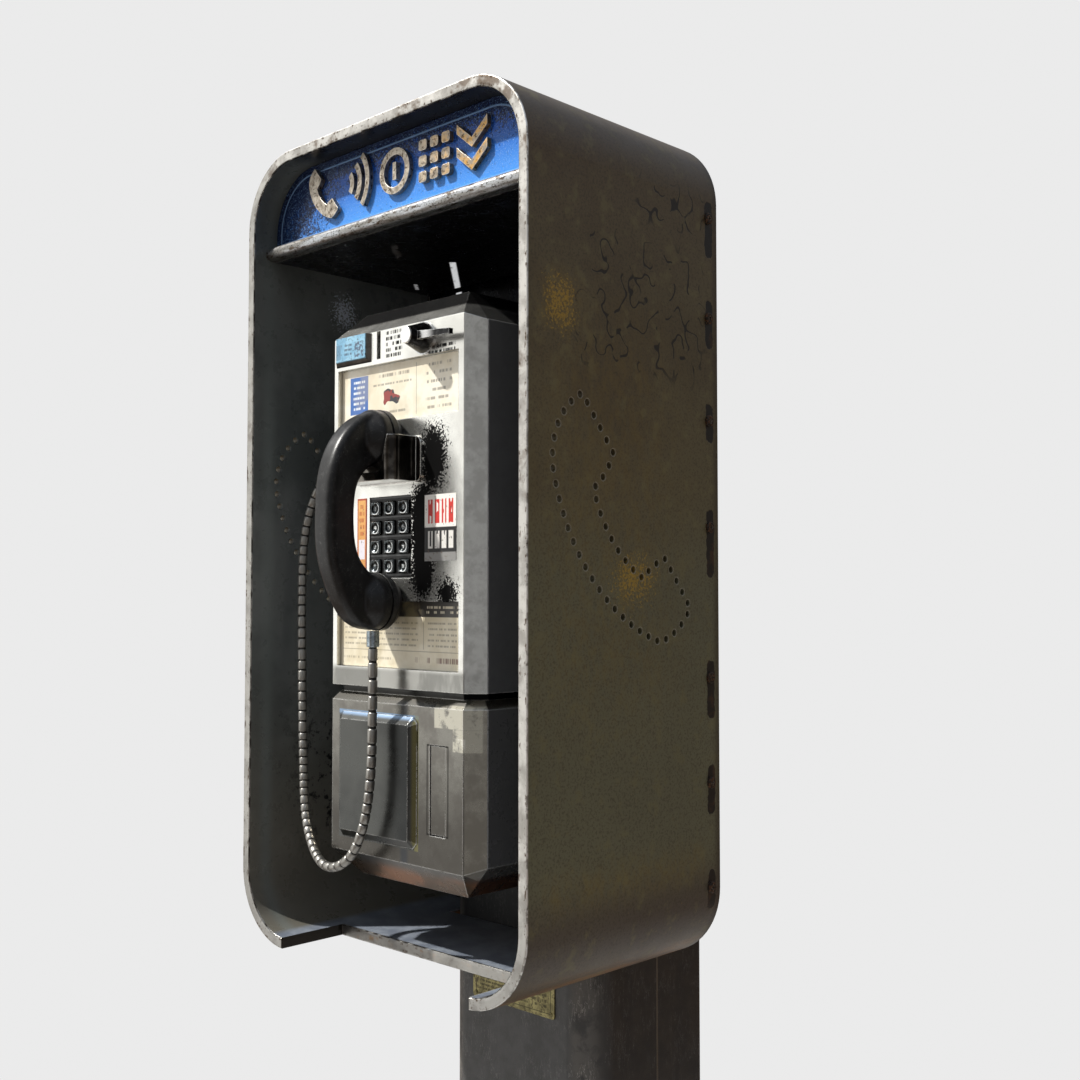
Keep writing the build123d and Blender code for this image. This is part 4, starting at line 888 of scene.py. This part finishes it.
# The cord's centreline as the CAD runs it, gland to handset, in metres.
ROUTE = [
    (-0.12696, -0.2255, 1.23204), (-0.149, -0.2255, 1.20996), (-0.1635, -0.2315, 1.18),
    (-0.17, -0.2355, 1.138), (-0.1665, -0.2385, 1.07), (-0.158, -0.243, 0.985),
    (-0.1505, -0.2465, 0.92), (-0.139, -0.2525, 0.868), (-0.115, -0.26, 0.8381),
    (-0.0856, -0.2685, 0.8261), (-0.0581, -0.272, 0.8291), (-0.0331, -0.2725, 0.8448),
    (-0.0166, -0.272, 0.8768), (-0.0092, -0.271, 0.92), (-0.0095, -0.2695, 0.972),
    (-0.0095, -0.2695, 1.0404),
]
CORD_SIDES = 20
RING_RADIUS, SHOULDER_RADIUS, NECK_RADIUS, END_RADIUS = 0.0045, 0.0043, 0.0037, 0.0036

# Loops along one armour ring: share of its length, radius, and whether the strip after it is a dark gap,
# darkened with painted shade.
RING = (
    (0.0, NECK_RADIUS, True),
    (0.09, NECK_RADIUS, False),
    (0.11, SHOULDER_RADIUS, False),
    (0.15, RING_RADIUS, False),
    (0.86, RING_RADIUS, False),
    (0.9, SHOULDER_RADIUS, False),
    (0.92, NECK_RADIUS, True),
)
# Mean ring length from that share of the cord's length on, farthest share first; rings bunch up in the bend.
RING_PITCHES = ((0.86, 0.0148), (0.62, 0.0105), (0.42, 0.0082), (0.0, 0.0108))


def centreline():
    """Points every half millimetre along the route's smooth curve, and the curve's length."""
    curve = bpy.data.curves.new("cord_line", "CURVE")
    curve.dimensions = "3D"
    spline = curve.splines.new("NURBS")
    spline.points.add(len(ROUTE) - 1)
    for point, place in zip(spline.points, ROUTE):
        point.co = (*place, 1.0)
    spline.order_u, spline.use_endpoint_u, spline.resolution_u = 3, True, 32
    line = bpy.data.objects.new("cord_line", curve)
    mesh = bpy.data.meshes.new_from_object(line)
    dense = [v.co.copy() for v in mesh.vertices]
    bpy.data.objects.remove(line)
    bpy.data.curves.remove(curve)
    bpy.data.meshes.remove(mesh)
    runs = [0.0]
    for a, b in zip(dense, dense[1:]):
        runs.append(runs[-1] + (b - a).length)
    return dense, runs


def at(dense, runs, run):
    """Point at that distance along the line."""
    index = next((i for i, r in enumerate(runs) if r >= run), len(runs) - 1)
    index = max(index, 1)
    share = (run - runs[index - 1]) / max(runs[index] - runs[index - 1], 1e-9)
    return dense[index - 1].lerp(dense[index], min(share, 1.0))


def ring_pitch(share):
    """Length of one armour ring, in metres, at that share of the cord's length."""
    mean = next(pitch for start, pitch in RING_PITCHES if share >= start)
    return mean * random.uniform(0.88, 1.14)


def ring_stations(total):
    """Distance and radius of each loop along the cord, and the loops that a dark strip follows."""
    stations, dark = [], []
    run = 0.0
    while run < total - 0.004:
        pitch = min(ring_pitch(run / total), total - run)
        for share, radius, gap in RING:
            if gap:
                dark.append(len(stations))
            stations.append((run + share * pitch, radius))
        run += pitch
    stations.append((total, END_RADIUS))
    return stations, dark


def armoured_cord():
    dense, runs = centreline()
    total = runs[-1]
    stations, dark = ring_stations(total)
    vertices, faces = [], []
    side = Vector((0, 1, 0))
    for run, radius in stations:
        centre = at(dense, runs, run)
        before, after = at(dense, runs, max(run - 0.002, 0)), at(dense, runs, min(run + 0.002, total))
        ahead = (after - before).normalized()
        side = (side - ahead * side.dot(ahead)).normalized()
        across = ahead.cross(side)
        for step in range(CORD_SIDES):
            turn = 2 * pi * step / CORD_SIDES
            vertices.append(centre + (side * cos(turn) + across * sin(turn)) * radius)
    for base in range(0, (len(stations) - 1) * CORD_SIDES, CORD_SIDES):
        for step in range(CORD_SIDES):
            following = (step + 1) % CORD_SIDES
            beyond = base + CORD_SIDES
            faces.append((base + step, base + following, beyond + following, beyond + step))
    last = (len(stations) - 1) * CORD_SIDES
    faces.append(tuple(range(CORD_SIDES))[::-1])
    faces.append(tuple(range(last, last + CORD_SIDES)))
    piece = shape("cord_armour", vertices, faces, bpy.data.materials["armour_steel"])
    piece.data.materials.append(bpy.data.materials["armour_gap"])
    for loop in dark:
        for step in range(CORD_SIDES):
            piece.data.polygons[loop * CORD_SIDES + step].material_index = 1
    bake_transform(piece)
    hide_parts("cord")
    [at(dense, runs, total * i / 400) for i in range(401)]


def armour(g):
    fine = g.noise(5, 3, 0.7)
    colour = g.coats(g.mix("7b766f", "57514b", fine.rise(0.4, 0.62)), (g.specks(2.5, 0.5792), "2f2620"))
    return dict(colour=colour, metallic=0.9, roughness=fine * 0.3 + 0.2, bump=fine, relief=0.1, corner=0.0)


# The dark strips between the rings: painted shade in the gaps.
def armour_gap(g):
    fine = g.noise(3, 2)
    colour = g.mix("141210", "2a2520", fine.rise(0.4, 0.62))
    return dict(colour=colour, metallic=0.2, roughness=fine * 0.2 + 0.5, bump=fine, relief=0.1, corner=0.0)


finish("armour_steel", [], armour)
finish("armour_gap", [], armour_gap)
armoured_cord()


def figure_ink(g):
    fine = g.noise(1.5, 2)
    colour = g.mix("e6e8e8", "b4b6b6", fine.rise(0.45, 0.6))
    return dict(colour=colour, roughness=fine * 0.3 + 0.3, bump=fine, relief=0.02, corner=0.0)


ink = finish("key_ink", [], figure_ink)
FIGURE_SIZE, FIGURE_HALF_DEPTH = 0.0085, 0.00012


def key_figure(key, text):
    """A raised figure on the key's face, found by a ray from in front of it."""
    low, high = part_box(key)
    x, z = (low[0] + high[0]) / 2, (low[2] + high[2]) / 2
    _, place, _, _ = NODES[key].ray_cast(Vector((x, low[1] - 0.01, z)), Vector((0, 1, 0)))
    letters = bpy.data.curves.new("figure", "FONT")
    letters.body, letters.size, letters.extrude = text, FIGURE_SIZE, FIGURE_HALF_DEPTH
    letters.align_x, letters.align_y = "CENTER", "CENTER"
    pen = bpy.data.objects.new("figure", letters)
    mesh = bpy.data.meshes.new_from_object(pen)
    bpy.data.objects.remove(pen)
    piece = bpy.data.objects.new(f"figure_{key[4:]}", mesh)
    bpy.context.collection.objects.link(piece)
    mesh.materials.clear()
    mesh.materials.append(ink)
    piece.rotation_euler = (pi / 2, 0, 0)
    piece.location = (x, place.y, z)
    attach(piece, key)


for key, text in KEYS.items():
    key_figure(key, text)


# ---------------------------------------------------------------- floor, light and camera
def floor_finish(g):
    fine = g.noise(400, 3)
    colour = g.mix("adacaa", "b0afad", fine.rise(0.3, 0.7))
    return dict(colour=colour, roughness=fine * 0.1 + 0.85, bump=fine, relief=0.02, corner=0.0)


FLOOR_RADIUS, FLOOR_SIDES = 1.4, 96


def floor_disc():
    turns = [2 * pi * i / FLOOR_SIDES for i in range(FLOOR_SIDES)]
    rim = [(FLOOR_RADIUS * cos(turn), FLOOR_RADIUS * sin(turn), 0) for turn in turns]
    material = finish("floor_pale", [], floor_finish)
    shape("floor", rim, [tuple(range(FLOOR_SIDES))], material)


floor_disc()


def sky():
    world = bpy.data.worlds.new("studio")
    bpy.context.scene.world = world
    world.use_nodes = True
    g = Graph(world.node_tree)
    way = g.ends["Generated"]
    _, _, up = g.split(way)

    def towards(x, y, z):
        return g.dot(way, tuple(Vector((x, y, z)).normalized()))

    colour = g.coats(
        (0.2, 0.13, 0.085, 1),
        (up.rise(-0.12, 0.06), (0.2, 0.18, 0.15, 1)),
        (up.rise(0.1, 0.7), (0.42, 0.47, 0.55, 1)),
        (towards(0.7, -0.71, 0.0).rise(0.8, 0.97), (0.34, 0.34, 0.34, 1)),
        (towards(-0.72, -0.69, 0.12).rise(0.72, 0.93), (1.25, 1.24, 1.2, 1)),
        (towards(-0.2, -0.6, 0.75).rise(0.8, 0.95), (0.62, 0.64, 0.68, 1)),
    )
    lit = g.add("ShaderNodeBackground", Color=colour, Strength=1.0)
    pale = g.add("ShaderNodeBackground", Color=(0.83, 0.83, 0.83, 1), Strength=1.0)
    seen = g.add("ShaderNodeLightPath").outputs["Is Camera Ray"]
    both = g.add("ShaderNodeMixShader", Fac=seen)
    g.feed(both.inputs[1], lit.outputs[0])
    g.feed(both.inputs[2], pale.outputs[0])
    g.add("ShaderNodeOutputWorld", Surface=both.outputs[0])


def key_light():
    sun = bpy.data.lights.new("key_light", "SUN")
    sun.energy, sun.angle, sun.color = 5.5, radians(1.5), (1.0, 0.97, 0.92)
    light = bpy.data.objects.new("key_light", sun)
    light.rotation_euler = Vector((0.465, 0.475, -0.747)).to_track_quat("-Z", "Y").to_euler()
    bpy.context.collection.objects.link(light)


def camera():
    """The photograph's viewpoint: right of the phone, 1.09 m up, turned 44 degrees to the left."""
    lens = bpy.data.cameras.new("camera")
    lens.lens, lens.sensor_width = 43.2186, 36.0
    view = bpy.data.objects.new("camera", lens)
    view.location = (0.951, -1.0345, 1.0892)
    view.rotation_euler = (radians(92.44), 0, radians(44.14))
    bpy.context.collection.objects.link(view)
    bpy.context.scene.camera = view


sky()
key_light()
camera()
bpy.context.scene.view_settings.view_transform = "Standard"
